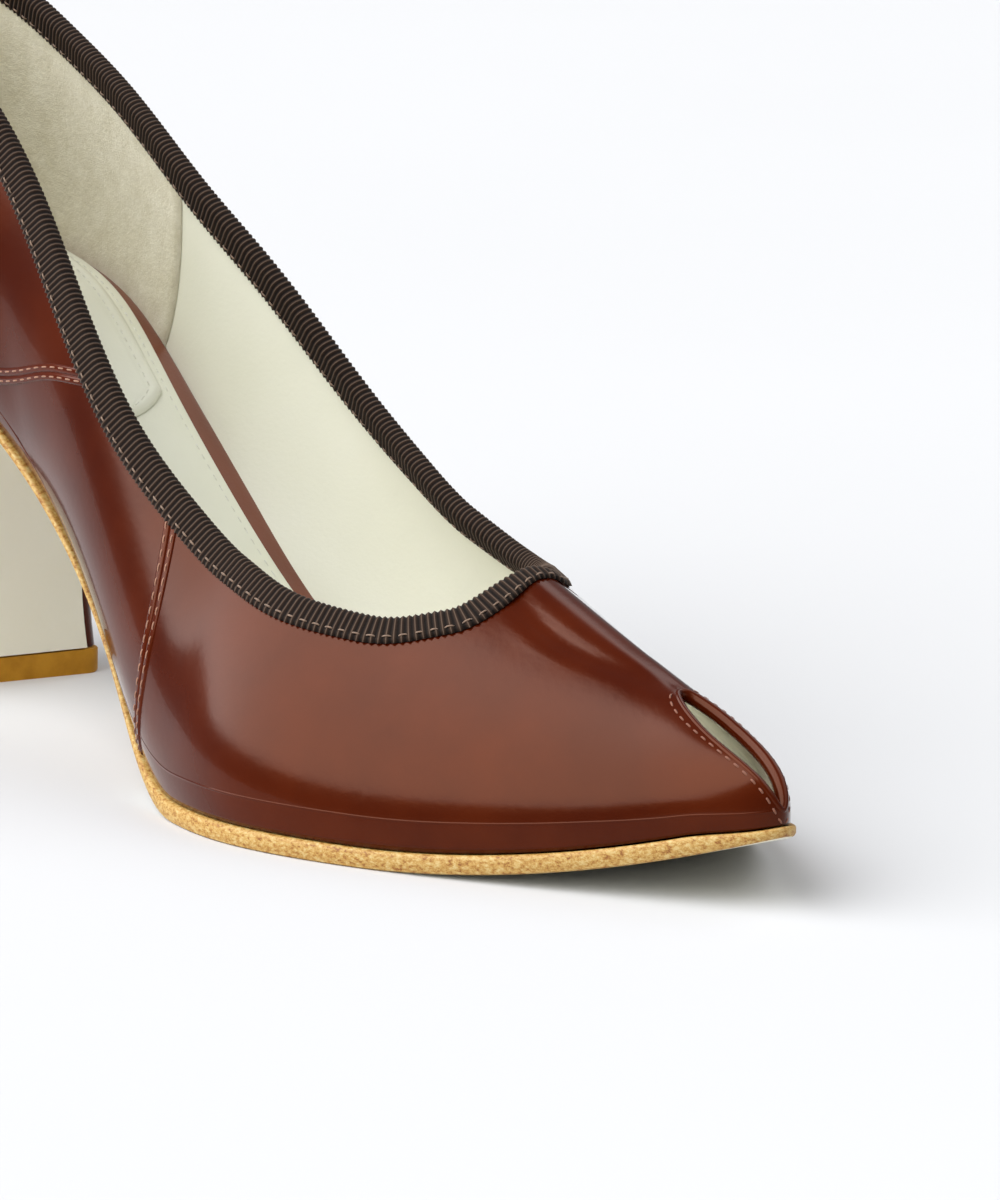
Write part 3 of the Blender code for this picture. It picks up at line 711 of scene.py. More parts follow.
def ribbon_material():
    """Dark brown ribbed ribbon, with painted shade in the grooves between its ribs and a painted highlight
    on their crests.
    """
    material = new_material("ribbon", (0.02, 0.012, 0.008), 0.75, sheen=0.05, specular=0.12)
    place = add_node(material, "ShaderNodeUVMap", uv_map="across")
    split = add_node(material, "ShaderNodeSeparateXYZ")
    link(material, place.outputs["UV"], split.inputs["Vector"])
    turns = add_node(material, "ShaderNodeMath", operation="MULTIPLY")
    turns.inputs[1].default_value = 2 * np.pi
    link(material, split.outputs["X"], turns.inputs[0])
    wave = add_node(material, "ShaderNodeMath", operation="COSINE")
    link(material, turns.outputs["Value"], wave.inputs[0])
    span = add_node(material, "ShaderNodeMapRange")
    span.inputs["From Min"].default_value = -1.0
    link(material, wave.outputs["Value"], span.inputs["Value"])
    # Colour across the ribs: painted shade in the grooves, a painted highlight on the crests
    vary_colour(material, span.outputs["Result"],
                [(0.0, (0.005, 0.0025, 0.0015)), (0.6, (0.020, 0.0105, 0.0062)),
                 (0.92, (0.032, 0.0175, 0.0105)), (1.0, (0.110, 0.072, 0.050))])
    add_bump(material, noise(material, 3500, 2), 0.00006)
    return material


def leather_material(name, colour, paler, roughness, coat=0.0):
    """Smooth leather with a fine grain and slight clouds of colour."""
    material = new_material(name, colour, roughness, coat, 0.2)
    vary_colour(material, noise(material, 45, 4), [(0.3, colour), (0.7, paler)])
    vary_roughness(material, noise(material, 120, 3), roughness - 0.06, roughness + 0.08)
    add_bump(material, noise(material, 1400, 3), 0.00003)
    return material


def suede_material():
    """Napped leather of the heel grip."""
    colour, paler = (0.68, 0.62, 0.44), (0.84, 0.79, 0.62)
    material = new_material("heel_grip_suede", colour, 0.9, sheen=0.4, specular=0.2)
    vary_colour(material, noise(material, 260, 6, 0.7), [(0.3, colour), (0.7, paler)])
    add_bump(material, noise(material, 1100, 5, 0.75), 0.00035)
    return material


def cork_material():
    """Speckled natural edge of the sole, with a thin pale line at its lower edge."""
    material = new_material("sole_edge", (0.60, 0.33, 0.10), 0.55)
    speckle = noise(material, 1150, 4, 0.8, (1, 1, 1.6))
    vary_colour(material, speckle, [(0.36, (0.24, 0.080, 0.010)), (0.45, (0.44, 0.225, 0.042)),
                                    (0.53, (0.53, 0.325, 0.090)), (0.66, (0.63, 0.48, 0.21))])
    vary_roughness(material, speckle, 0.42, 0.68)
    add_bump(material, speckle, 0.00008)
    return material


def thread_material(name, colour):
    material = new_material(name, colour, 0.55, sheen=0.2)
    paler = tuple(min(0.8, 1.4 * c) for c in colour)
    vary_colour(material, noise(material, 2500, 2), [(0.35, colour), (0.65, paler)])
    add_bump(material, noise(material, 6000, 2), 0.00004)
    return material


def rubber_material():
    """Ochre wearing piece with scuffs."""
    material = new_material("wearing_piece", (0.42, 0.19, 0.01), 0.5, specular=0.25)
    vary_colour(material, noise(material, 300, 5, 0.6),
                [(0.35, (0.42, 0.185, 0.007)), (0.65, (0.53, 0.25, 0.014))])
    vary_roughness(material, noise(material, 500, 3), 0.38, 0.6)
    add_bump(material, noise(material, 1600, 3), 0.00003)
    return material


def make_upper():
    """Outer leather and its lining."""
    leather = joined_middle(upper_sheet(0.0))
    sheet_piece("upper_leather", leather, LEATHER_THICKNESS, PATENT, "upper")
    inward = LEATHER_THICKNESS + LINING_GAP
    lining = joined_middle(upper_sheet(inward))
    sheet_piece("upper_lining", lining, UPPER_WALL - inward, LINING, "upper")


def make_grip():
    """Suede patch on the lining round the heel, from the insole up to the binding."""
    fronts = spine(COLUMNS)[:, 0]
    count = int(np.searchsorted(fronts, GRIP_FRONT_TOP))
    share = np.linspace(0, 1, WALL_ROWS + 1)[None, :]
    sheets = []
    for side in (OUTER, INNER):
        reach = GRIP_FRONT_LOW + (GRIP_FRONT_TOP - GRIP_FRONT_LOW) * share
        limit = np.interp(reach, fronts, COLUMNS)
        t = np.linspace(0, 1, count)[:, None] * limit
        trims = np.interp(t, COLUMNS, TRIMS[side])
        v = trims * (0.04 + 0.92 * share)
        sheets.append(upper_point(side, t, v) - upper_normal(side, t, v) * (UPPER_WALL + LINING_GAP))
    sheets[OUTER][0] = sheets[INNER][0] = 0.5 * (sheets[OUTER][0] + sheets[INNER][0])
    sheet_piece("heel_grip", sheets, GRIP_THICKNESS, SUEDE)


def edge_frames():
    """Collar's edge once round. Each row holds five triples: a point, its direction away from the
    opening, its normal, and the wall's points half way and all the way down the ribbon's leg.
    """
    last = HEEL_TO_THROAT
    round_trip = [(OUTER, i) for i in range(last, 0, -1)] + [(INNER, i) for i in range(0, last)]
    points = np.array([upper_point(side, COLUMNS[i], TRIMS[side][i]) for side, i in round_trip])
    tangent = unit(np.roll(points, -1, axis=0) - np.roll(points, 1, axis=0))
    rows = []
    step = 1e-3
    for (side, i), point, forward in zip(round_trip, points, tangent):
        t, v = COLUMNS[i], TRIMS[side][i]
        before = max(t - step, 0)
        by_t = (upper_point(side, t + step, v) - upper_point(side, before, v)) / (t + step - before)
        by_v = (upper_point(side, t, v) - upper_point(side, t, v - step)) / step
        if i == last:
            by_v = np.array([0.0, 1.0, 0.0]) * np.linalg.norm(by_v)
        normal = unit(np.cross(by_t, by_v))
        inside = np.array([point[0], 0.0, point[2] - SIDE_HEIGHT])
        normal = normal if np.dot(normal, point - inside) > 0 else -normal
        away = np.cross(normal, forward)
        slopes = np.stack([by_t, by_v], 1)
        reached = [wall_point(side, t, v, point, away, slopes, distance)
                   for distance in (0.5 * BINDING_OUTER_LEG, BINDING_OUTER_LEG)]
        rows.append(np.concatenate([point, away, normal, reached[0], reached[1]]))
    return np.array(rows)


def wall_point(side, t, v, point, away, slopes, distance):
    """Point on the upper's outer face, at a distance from the collar's edge."""
    move = np.linalg.lstsq(slopes, away * distance, rcond=None)[0]
    reached = upper_point(side, np.clip(t + move[0], 0, 1), np.clip(v + move[1], 0, 1))
    direction = reached - point
    return point + direction * (distance / max(np.linalg.norm(direction), 1e-9))


def eased_frames(rows):
    """Frames with softly turning directions and with shorter legs round the throat."""
    points = rows[:, :3]
    steps = np.linalg.norm(np.roll(points, -1, axis=0) - points, axis=1)
    place = np.concatenate([[0], np.cumsum(steps)[:-1]])
    total = steps.sum()
    gap = np.abs(place[:, None] - place[None, :])
    gap = np.minimum(gap, total - gap)
    weight = np.exp(-(gap / FRAME_EASE) ** 2) * steps[None, :]
    weight /= weight.sum(axis=1, keepdims=True)
    half, full = rows[:, 9:12] - points, rows[:, 12:15] - points
    turned = weight @ np.concatenate([rows[:, 3:9], half, full], 1)
    from_throat = np.minimum(place, total - place)
    shortest = np.where(place < 0.5 * total, *THROAT_LEG_SHARES)
    share = 1 - (1 - shortest) * np.exp(-(from_throat / THROAT_EASE) ** 2)
    legs = []
    for column, length in ((6, 0.5 * BINDING_OUTER_LEG), (9, BINDING_OUTER_LEG)):
        legs.append(points + unit(turned[:, column:column + 3]) * (length * share)[:, None])
    return np.concatenate([points, turned[:, :6], legs[0], legs[1]], 1)


def collar_path():
    """Smooth closed path of the collar's frames over its length."""
    rows = eased_frames(edge_frames())
    laps = np.vstack([rows[-3:], rows, rows[:4]])
    lengths = path_lengths(laps[:, :3])
    lengths -= lengths[3]
    total = lengths[3 + len(rows)]
    return spline(lengths, laps), total


def down_the_wall(share, point, half, full):
    """Curve from the collar's edge at share 0, through half, to full at share 1."""
    return 2 * (share - 0.5) * (share - 1) * point + 4 * share * (1 - share) * half + \
        2 * share * (share - 0.5) * full


def ribbon_section(row):
    """Middle line of the folded ribbon and its outward directions, over the rows of the path."""
    point, away, normal = row[:, 0:3], unit(row[:, 3:6]), unit(row[:, 6:9])
    half, full = row[:, 9:12], row[:, 12:15]
    lift = RIBBON_LIFT + 0.5 * BINDING_THICKNESS
    places, outs, shares = [], [], []
    for share in np.linspace(1, 0, 9)[:-1]:
        places.append(down_the_wall(share, point, half, full) + normal * lift)
        outs.append(normal)
        shares.append(share)
    radius = 0.5 * UPPER_WALL + lift
    centre = point - normal * 0.5 * UPPER_WALL
    for angle in np.radians(np.linspace(0, 180, 9)):
        out = normal * np.cos(angle) - away * np.sin(angle)
        places.append(centre + out * radius * (1 - 0.25 * np.sin(angle) ** 2))
        outs.append(out)
        shares.append(0.0)
    for share in np.linspace(0, 1, 9)[1:]:
        along = down_the_wall(share, point, half, full) - point
        places.append(point + along * BINDING_INNER_LEG / BINDING_OUTER_LEG - normal * (UPPER_WALL + lift))
        outs.append(-normal)
        shares.append(-share)
    return np.stack(places, 1), np.stack(outs, 1), np.array(shares)


def make_binding():
    """Ribbed ribbon folded over the collar, with small loops along both of its edges."""
    path, total = collar_path()
    ribs = int(round(total / RIB_PITCH))
    turns = np.arange(ribs * RIB_RINGS) / RIB_RINGS
    row = path(turns / ribs * total)
    middle, outs, shares = ribbon_section(row)
    crest = np.cos(2 * np.pi * turns)[:, None]
    crest = np.sign(crest) * np.abs(crest) ** 0.7
    flat = np.clip((0.86 - np.abs(shares)) / 0.10, 0, 1)[None, :]
    relief = RIB_HEIGHT * crest * (0.35 + 0.65 * flat)
    relief = relief - RIBBON_GROOVE * np.exp(-((np.abs(shares)[None, :] - 0.80) / 0.05) ** 2)
    thick = 0.5 * BINDING_THICKNESS
    outer = middle + outs * (thick + relief - 0.5 * RIB_HEIGHT)[..., None]
    inner = middle - outs * thick * 0.8
    for side in (0, -1):
        step = 1 if side == 0 else -2
        along = unit(middle[:, side] - middle[:, step])
        outer[:, side] += along * (SCALLOP * crest) - outs[:, side] * thick * 0.9
    rings = np.concatenate([outer, inner[:, ::-1], outer[:, :1]], 1)
    across_share = np.concatenate([shares, shares[::-1], shares[:1]])
    uvs = np.stack(np.broadcast_arrays(turns[:, None], across_share[None, :]), -1).reshape(-1, 2)
    faces = grid_faces(len(rings), rings.shape[1], closed=True)
    new_piece("binding_ribbon", rings.reshape(-1, 3), faces, RIBBON, 80, "collar_binding", uvs)
    stitch_rows(path, total)


def stitch_rows(path, total):
    """Pale stitches near both edges of the ribbon."""
    count = int(total / STITCH_PITCH)
    for name, place in (("outer", 0.78), ("inner", -0.80)):
        starts = np.arange(count) * total / count
        stations = starts[:, None] + np.linspace(0, STITCH_LENGTH, 5)[None, :]
        middle, outs, shares = ribbon_section(path(stations.ravel() % total))
        nearest = int(np.argmin(np.abs(shares - place)))
        points = middle[:, nearest] + outs[:, nearest] * (0.5 * BINDING_THICKNESS - 0.00004)
        make_thread("binding_stitches_" + name, points.reshape(count, 5, 3),
                    outs[:, nearest].reshape(count, 5, 3), THREAD)


def make_thread(name, paths, normals, material, radius=THREAD_RADIUS):
    """One short round thread along each path, dipping into the leather at both ends."""
    count, steps = paths.shape[:2]
    along = unit(np.gradient(paths, axis=1))
    sideways = unit(np.cross(along, normals))
    dip = np.array([-1.1, 0.35, 0.55, 0.35, -1.1])[None, :, None] * radius
    centres = paths + normals * dip
    thin = np.array([0.7, 1.0, 1.0, 1.0, 0.7])[None, :, None]
    rings = []
    for angle in np.linspace(0, 2 * np.pi, THREAD_SIDES + 1)[:-1]:
        rings.append(centres + (sideways * np.cos(angle) * 1.15 + normals * np.sin(angle)) * radius * thin)
    points = np.stack(rings, 2).reshape(-1, 3)
    faces = []
    for base in range(0, count * steps * THREAD_SIDES, steps * THREAD_SIDES):
        for start in range(base, base + (steps - 1) * THREAD_SIDES, THREAD_SIDES):
            for j in range(THREAD_SIDES):
                a, b = start + j, start + (j + 1) % THREAD_SIDES
                faces.append((a, b, b + THREAD_SIDES, a + THREAD_SIDES))
        last = base + (steps - 1) * THREAD_SIDES
        faces.append(tuple(range(base, base + THREAD_SIDES)))
        faces.append(tuple(range(last + THREAD_SIDES - 1, last - 1, -1)))
    new_piece(name, points, faces, material, 80)


def stitch_shares(count, length=0.7):
    """Five places along each of the stitches of a row, as shares of the row."""
    return (np.arange(count)[:, None] + 0.15 + np.linspace(0, length, 5)[None, :]) / count


def along_wall(side, rows, count):
    """Points and normals along a path on the wall, given as rows of t and v."""
    rows = np.asarray(rows, float)
    curve = spline(np.linspace(0, 1, len(rows)), rows)
    fine = curve(np.linspace(0, 1, 600))
    lengths = path_lengths(upper_point(side, fine[:, 0], fine[:, 1]))
    fine = rows_at(np.linspace(0, lengths[-1], count), lengths, fine)
    points = upper_point(side, fine[:, 0], fine[:, 1])
    return points, upper_normal(side, fine[:, 0], fine[:, 1]), lengths[-1]


# Middle lines of the seams on the outer side: t and v on the wall
SIDE_SEAM = [(0.4795, 0.452), (0.4835, 0.412), (0.4868, 0.362), (0.4892, 0.296),
             (0.4892, 0.226), (0.4875, 0.150), (0.4820, 0.060), (0.4770, 0.002)]
BACK_SEAM = [(0.4140, 0.403), (0.4000, 0.351), (0.3761, 0.273), (0.3568, 0.205),
             (0.3328, 0.127), (0.3080, 0.063), (0.2850, 0.002)]


def make_seam(name, side, rows):
    """Raised strip with a groove along its middle and a row of stitches on either side."""
    points, normals, length = along_wall(side, rows, SEAM_POINTS)
    sideways = unit(np.cross(unit(np.gradient(points, axis=0)), normals))
    share = np.linspace(-1, 1, 17)
    groove = 0.85 * np.exp(-(share / 0.13) ** 2)
    edge = np.clip((1 - np.abs(share)) / 0.16, 0, 1) ** 0.5
    height = SEAM_STRIP_HEIGHT * (edge - groove) - SEAM_SINK
    strip = points[:, None] + sideways[:, None] * (share * SEAM_STRIP_WIDTH / 2)[None, :, None] + \
        normals[:, None] * height[None, :, None]
    faces = grid_faces(SEAM_POINTS, len(share))
    # The seam strip uses the lighter patent copy, a painted highlight
    new_piece(name, strip.reshape(-1, 3), faces, PATENT_SEAM_HIGHLIGHT, 70)
    at = stitch_shares(int(length / STITCH_PITCH), 0.68) * (SEAM_POINTS - 1)
    outs = rows_at(at, np.arange(SEAM_POINTS), normals)
    for offset, label in ((-SEAM_STITCHES_ASIDE, "a"), (SEAM_STITCHES_ASIDE, "b")):
        line = points + sideways * offset * SEAM_STRIP_WIDTH / 2
        paths = rows_at(at, np.arange(SEAM_POINTS), line) + outs * SEAM_STRIP_HEIGHT * 0.9
        make_thread(name + "_stitches_" + label, paths, unit(outs), THREAD_SEAM)


def make_feather_line(name, side):
    """Fine raised line in the leather, a little above the sole's edge."""
    t = np.linspace(*FEATHER_LINE_SPAN, 240)
    v = np.linspace(0, 0.4, 120)
    wall = upper_point(side, t[:, None], v[None, :])
    lengths = np.cumsum(np.linalg.norm(np.diff(wall, axis=1), axis=2), axis=1)
    lengths = np.concatenate([np.zeros((len(t), 1)), lengths], 1)
    above = FEATHER_LINE_HEIGHT * (1 - 0.5 * smooth((t - 0.75) / 0.25))
    at = np.array([np.interp(above[i], lengths[i], v) for i in range(len(t))])
    points = upper_point(side, t, at)
    normals = upper_normal(side, t, at)
    sideways = unit(np.cross(unit(np.gradient(points, axis=0)), normals))
    rings = []
    for aside, lift in ((-1.0, -0.5), (-0.5, 0.6), (0.0, 1.0), (0.5, 0.6), (1.0, -0.5)):
        rings.append(points + sideways * aside * FEATHER_LINE_WIDTH + normals * lift * FEATHER_LINE_RISE)
    strip = np.stack(rings, 1)
    new_piece(name, strip.reshape(-1, 3), grid_faces(len(t), 5), PATENT, 80)


def slit_loop(inset):
    """Both sides of a path round the toe slit, at an inset from its edge: points and normals."""
    first = HEEL_TO_THROAT + THROAT_TO_SLIT
    rows = []
    for side, order in ((OUTER, 1), (INNER, -1)):
        index = np.arange(first, len(COLUMNS))[::order]
        t, v = COLUMNS[index], TRIMS[side][index]
        edge = upper_point(side, t, v)
        lower = upper_point(side, t, np.maximum(v - 0.02, 0))
        scale = inset / np.linalg.norm(edge - lower, axis=1) * 0.02
        moved = np.maximum(v - scale, 0)
        rows.append((upper_point(side, t, moved), upper_normal(side, t, moved)))
    return rows


def make_slit_fold():
    """Leather folded over the edge of the slit."""
    (outer, outer_normal), (inner, inner_normal) = slit_loop(0.0)
    points = np.concatenate([outer, inner[1:-1]])
    normals = np.concatenate([outer_normal, inner_normal[1:-1]])
    points = np.vstack([points, points[:1]])
    normals = np.vstack([normals, normals[:1]])
    place = path_lengths(points)
    at = np.linspace(0, place[-1], 260)[:-1]
    points, normals = rows_at(at, place, points), rows_at(at, place, normals)
    for _ in range(4):
        points = (np.roll(points, 1, axis=0) + 2 * points + np.roll(points, -1, axis=0)) / 4
        normals = (np.roll(normals, 1, axis=0) + 2 * normals + np.roll(normals, -1, axis=0)) / 4
    normals = unit(normals)
    forward = unit(np.roll(points, -1, axis=0) - np.roll(points, 1, axis=0))
    sideways = unit(np.cross(normals, forward))
    centres = points - normals * 0.5 * UPPER_WALL
    rings = []
    for angle in np.linspace(0, 2 * np.pi, 15)[:-1]:
        out = normals * np.sin(angle) * SLIT_FOLD_HEIGHT + sideways * np.cos(angle) * SLIT_FOLD_WIDTH
        rings.append(centres + out)
    rings = np.stack(rings + rings[:1], 1)
    faces = grid_faces(len(rings), rings.shape[1], closed=True)
    new_piece("slit_fold", rings.reshape(-1, 3), faces, PATENT, 80)


def make_slit_stitches():
    """Row of stitches along the folded rim of the slit."""
    rows = zip(slit_loop(SLIT_STITCH_INSET), ("outer", "inner"), SLIT_THREAD_RADII)
    for (points, normals), label, radius in rows:
        lengths = path_lengths(points)
        at = stitch_shares(int(lengths[-1] / (STITCH_PITCH * 0.8))) * lengths[-1]
        paths, outs = rows_at(at, lengths, points), rows_at(at, lengths, normals)
        make_thread("slit_stitches_" + label, paths, unit(outs), THREAD_SLIT, radius)


# Edge of the sole from its underside up: inset and height
SOLE_PROFILE = [
    (0.0005, 0.0),
    (0.00015, SOLE_LINE_HEIGHT * 0.6),
    (0.00015, SOLE_LINE_HEIGHT),
    (0.0, 0.0007),
    (0.0, 0.5 * SOLE_THICKNESS),
    (0.0, SOLE_THICKNESS - 0.0006),
    (0.00015, SOLE_THICKNESS - 0.0002),
    (0.0005, SOLE_THICKNESS),
]


def make_outsole():
    """Sole with a speckled edge and a pale underside."""
    t = np.linspace(0, 1, SOLE_ROWS + 1)
    t = t - 0.012 * np.sin(2 * np.pi * t)
    layers = []
    for inset, lift in SOLE_PROFILE:
        outer, inner = outline(OUTER, t, inset), outline(INNER, t, inset)
        layers.append(across(outer, inner,
                             lambda x, lift=lift: underside(x) + lift / SOLE_THICKNESS * sole_depth(x)))
    piece = layered_piece("sole_leather", layers, CORK, "outsole", 50)
    piece.data.materials.append(BREAST)
    for polygon in piece.data.polygons:
        if polygon.normal.z < -0.85:
            polygon.material_index = 1


def wall_inside(side, t, lift, inset):
    """Point on the inner face of the wall at a height above its lower edge, moved inwards."""
    v = np.linspace(0, 0.3, 90)
    wall = upper_point(side, t[:, None], v[None, :])
    height = wall[..., 2] - underside(wall[:, :1, 0]) - SOLE_THICKNESS - SEAT_GAP
    flat = np.stack([rows_at(lift, over, points[:, :2]) for over, points in zip(height, wall)])
    sideways = unit(outline(INNER, t) - outline(OUTER, t) + 1e-9) * (1 if side == OUTER else -1)
    moved = flat + sideways * np.asarray(inset + UPPER_WALL)[..., None]
    ends = np.clip(np.minimum(t, 1 - t) / 0.06, 0, 1)[:, None]
    edge = outline(side, t, inset + FEATHER_INSET + UPPER_WALL)
    return edge * (1 - ends) + moved * ends


def board(t, inset, low, high, rounding, wall_lift=None):
    """Layers of a board that lies on the sole and follows the wall, with a rounded upper edge."""
    base = SOLE_THICKNESS + SEAT_GAP
    layers = []
    for narrower, lift in ((0.0, low), (0.0, high - rounding), (0.3 * rounding, high - 0.3 * rounding),
                           (rounding, high)):
        at = lift if wall_lift is None else wall_lift
        outer, inner = [wall_inside(side, t, at, inset + narrower) for side in (OUTER, INNER)]
        layers.append(across(outer, inner, lambda x, lift=lift: underside(x) + base + lift))
    return layers


def t_at(x):
    """The t at which the middle of the outline lies at x."""
    t = np.linspace(0, 1, 400)
    return np.interp(x, outline_middle(t), t)


def sock_inset(t):
    """Margin of the insole round the sock, wider in front of the heel."""
    share = smooth((outline_middle(t) / LENGTH - 0.15) / 0.27)
    return SOCK_MARGIN_HEEL + (SOCK_MARGIN_FORE - SOCK_MARGIN_HEEL) * share


def make_insole():
    """Insole board, seen as a band round the sock."""
    layers = board(np.linspace(0, 1, SOLE_ROWS + 1), 0.0, 0.0, INSOLE_THICKNESS, 0.0006)
    layered_piece("insole_board", layers, INSOLE_COVER, "insole", 60)


def make_sock():
    """Sock lining and the row of stitches along its edge."""
    t = np.linspace(t_at(SOCK_START), t_at(SOCK_END), SOLE_ROWS + 1)
    low = INSOLE_THICKNESS + SEAT_GAP
    layers = board(t, sock_inset(t), low, low + SOCK_THICKNESS, 0.0003, INSOLE_THICKNESS)
    layered_piece("sock", layers, SOCK, "sock_lining", 60)
    lift = SOLE_THICKNESS + SEAT_GAP + low + SOCK_THICKNESS
    for side, label in ((OUTER, "outer"), (INNER, "inner")):
        inset = sock_inset(t[6:-6]) + SOCK_STITCH_INSET
        flat = wall_inside(side, t[6:-6], INSOLE_THICKNESS, inset)
        points = np.column_stack([flat, underside(flat[:, 0]) + lift])
        flat_stitches("sock_stitches_" + label, points, THREAD_PALE)


def flat_stitches(name, points, material):
    """Row of small stitches along a path that lies on a flat piece."""
    lengths = path_lengths(points)
    paths = rows_at(stitch_shares(int(lengths[-1] / STITCH_PITCH)) * lengths[-1], lengths, points)
    make_thread(name, paths, np.broadcast_to(UP, paths.shape), material, SOCK_THREAD_RADIUS)


def pad_edges(narrower):
    """Outer and inner edge of the heel pad."""
    places = PAD_START + (PAD_END - PAD_START) * (1 - np.cos(np.linspace(0, np.pi, 121))) / 2
    t = t_at(places)
    outer, inner = [wall_inside(side, t, INSOLE_THICKNESS, sock_inset(t) + PAD_MARGIN)
                    for side in (OUTER, INNER)]
    middle = 0.5 * (outer + inner)
    half = 0.5 * np.linalg.norm(outer - inner, axis=1)
    widest = half.max()
    nose = np.clip((PAD_END - places) / widest, 0, 1)
    tail = np.clip((places - PAD_START) / widest, 0, 1)
    half = np.minimum(half, widest * np.sqrt(1 - (1 - nose) ** 2))
    half = np.minimum(half, widest * np.sqrt(1 - (1 - tail) ** 2)) + 1e-4
    sideways = unit(inner - outer)
    width = np.maximum(half - narrower, 5e-5)[:, None]
    return middle - sideways * width, middle + sideways * width


def make_pad():
    """Soft pad under the heel, with its stitched outline."""
    low = SOLE_THICKNESS + 3 * SEAT_GAP + INSOLE_THICKNESS + SOCK_THICKNESS
    layers = []
    for narrower, lift in ((0.0, 0.0), (0.0, 0.25), (0.0003, 0.55), (0.0010, 0.85), (0.0018, 0.95),
                           (0.0024, 0.80), (0.0032, 1.0)):
        outer, inner = pad_edges(narrower)
        layers.append(across(outer, inner, lambda x, lift=lift: underside(x) + low + lift * PAD_THICKNESS))
    layered_piece("pad", layers, PAD, "heel_pad", 60)
    outer, inner = pad_edges(0.0024)
    loop = np.concatenate([outer, inner[::-1]])
    points = np.column_stack([loop, underside(loop[:, 0]) + low + 0.82 * PAD_THICKNESS])
    flat_stitches("pad_stitches", points, THREAD_PALE)


def heel_edges(level):
    """Outer and inner edge of the heel at a level: 0 at the top piece and 1 at the seat."""
    share = np.linspace(0, 1, HEEL_STATIONS + 1)
    share = 0.5 - 0.5 * np.cos(np.pi * share)
    seat_t = t_at(share * (HEEL_TOP_FRONT - HEEL_SEAT_INSET) + HEEL_SEAT_INSET)
    seat = [outline(side, seat_t, HEEL_SEAT_INSET) for side in (OUTER, INNER)]
    front = HEEL_BASE_FRONT - BREAST_COVER_THICKNESS - SEAT_GAP
    base_x = HEEL_BASE_BACK + share * (front - HEEL_BASE_BACK)
    back_round = np.sqrt(1 - (1 - np.clip(share / 0.55, 0, 1)) ** 2.4)
    corner = np.clip((base_x - (front - HEEL_CORNER)) / HEEL_CORNER, 0, 1)
    drop = HEEL_CORNER * (1 - np.sqrt(1 - corner ** 2))
    base_half = 0.5 * HEEL_BASE_WIDTH * back_round - drop
    pinch = HEEL_PINCH * 4 * level * (1 - level) * back_round
    edges = []
    forward = level * (1 - share) + level ** 2.2 * share
    for side, sign in ((OUTER, -1), (INNER, 1)):
        seat_y = seat[side][:, 1] - sign * drop
        seat_y[0] = 0.0
        x = base_x + (seat[side][:, 0] - base_x) * forward
        y = sign * base_half + (seat_y - sign * base_half) * level - sign * pinch
        edges.append(np.stack([x - y * np.tan(-BREAST_SKEW) * share, y], -1))
    return edges


def heel_height(level):
    """Height of the heel's level over x, between the top piece and the sole's underside."""
    bottom = TOP_PIECE_THICKNESS + SEAT_GAP
    return lambda x: bottom + (underside(x) - SEAT_GAP - bottom) * level


def make_heel():
    """Covered heel block, in levels from the top piece to the sole."""
    layers = []
    for level in np.linspace(0, 1, HEEL_LEVELS + 1):
        layers.append(across(*heel_edges(level), heel_height(level)))
    # The heel cover uses the darker patent copy, painted shade
    layered_piece("heel_cover", layers, PATENT_HEEL_SHADED, "heel_block", 50)


def make_breast_cover():
    """Pale leather that runs from the sole down the front face of the heel."""
    back, front = [], []
    for level in np.linspace(0, 1, HEEL_LEVELS + 1):
        low, high = [edge[-1] for edge in heel_edges(level)]
        side = unit(high - low)
        forward = np.array([side[1], -side[0]])
        low, high = low + side * BREAST_COVER_MARGIN * 0.2, high - side * BREAST_COVER_MARGIN * 0.2
        share = np.linspace(0, 1, SOLE_ACROSS + 1)[:, None]
        line = low * (1 - share) + high * share
        bow = 0.0002 * (1 - (2 * share - 1) ** 2)
        for face, offset in ((back, SEAT_GAP), (front, SEAT_GAP + BREAST_COVER_THICKNESS + bow)):
            flat = line + forward * offset
            face.append(np.column_stack([flat, heel_height(level)(flat[:, 0])]))
    layers = [np.array(back), np.array(front)]
    layered_piece("breast_leather", layers, BREAST, "breast_cover", 60)


def make_top_piece():
    """Wearing piece under the heel, flat on the floor."""
    outer, inner = heel_edges(0.0)
    reach = BREAST_COVER_THICKNESS + SEAT_GAP
    stretch = np.linspace(0, 1, len(outer))[:, None] * [[reach, 0.0]]
    middle = 0.5 * (outer + inner)
    layers = []
    for share, z in ((0.985, 0.0), (1.0, 0.0003), (1.0, TOP_PIECE_THICKNESS - 0.0002),
                     (0.99, TOP_PIECE_THICKNESS)):
        edges = [middle + (edge - middle) * share + stretch for edge in (outer, inner)]
        layers.append(across(*edges, lambda x, z=z: np.full_like(x, z)))
    layered_piece("wearing_piece", layers, RUBBER, "top_piece", 50)


# Camera: place and aim in the shoe's own metres, and its roll
CAMERA_FROM = (0.8400, -0.5809, 0.2066)
CAMERA_AT = (0.13592, 0.02712, 0.02624)
CAMERA_ROLL = np.radians(1.434)
CAMERA_LENS = 186.7
CAMERA_SENSOR = 36.0

# Light areas: azimuth, height, half width, half height and soft edge in degrees
MAIN_BOX = (-20, 45, 38, 30, 3)
MAIN_BOX_STRENGTH = 4.4
BACK_BOX = (155, 58, 38, 20, 5)
BACK_BOX_STRENGTH = 1.5
SKY_STRENGTH = 0.22
FLOOR_REACH = 8.0


def make_camera():
    """Camera at the photo's viewing angle."""
    camera = bpy.data.objects.new("camera", bpy.data.cameras.new("camera"))
    bpy.context.scene.collection.objects.link(camera)
    start, target = Vector(np.array(CAMERA_FROM) + SHIFT), Vector(np.array(CAMERA_AT) + SHIFT)
    turn = (target - start).to_track_quat("-Z", "Y").to_matrix().to_4x4()
    camera.matrix_world = Matrix.Translation(start) @ turn @ Matrix.Rotation(CAMERA_ROLL, 4, "Z")
    camera.data.lens = CAMERA_LENS
    camera.data.sensor_width = CAMERA_SENSOR
    camera.data.clip_start = 0.05
    camera.data.clip_end = 50.0
    bpy.context.scene.camera = camera


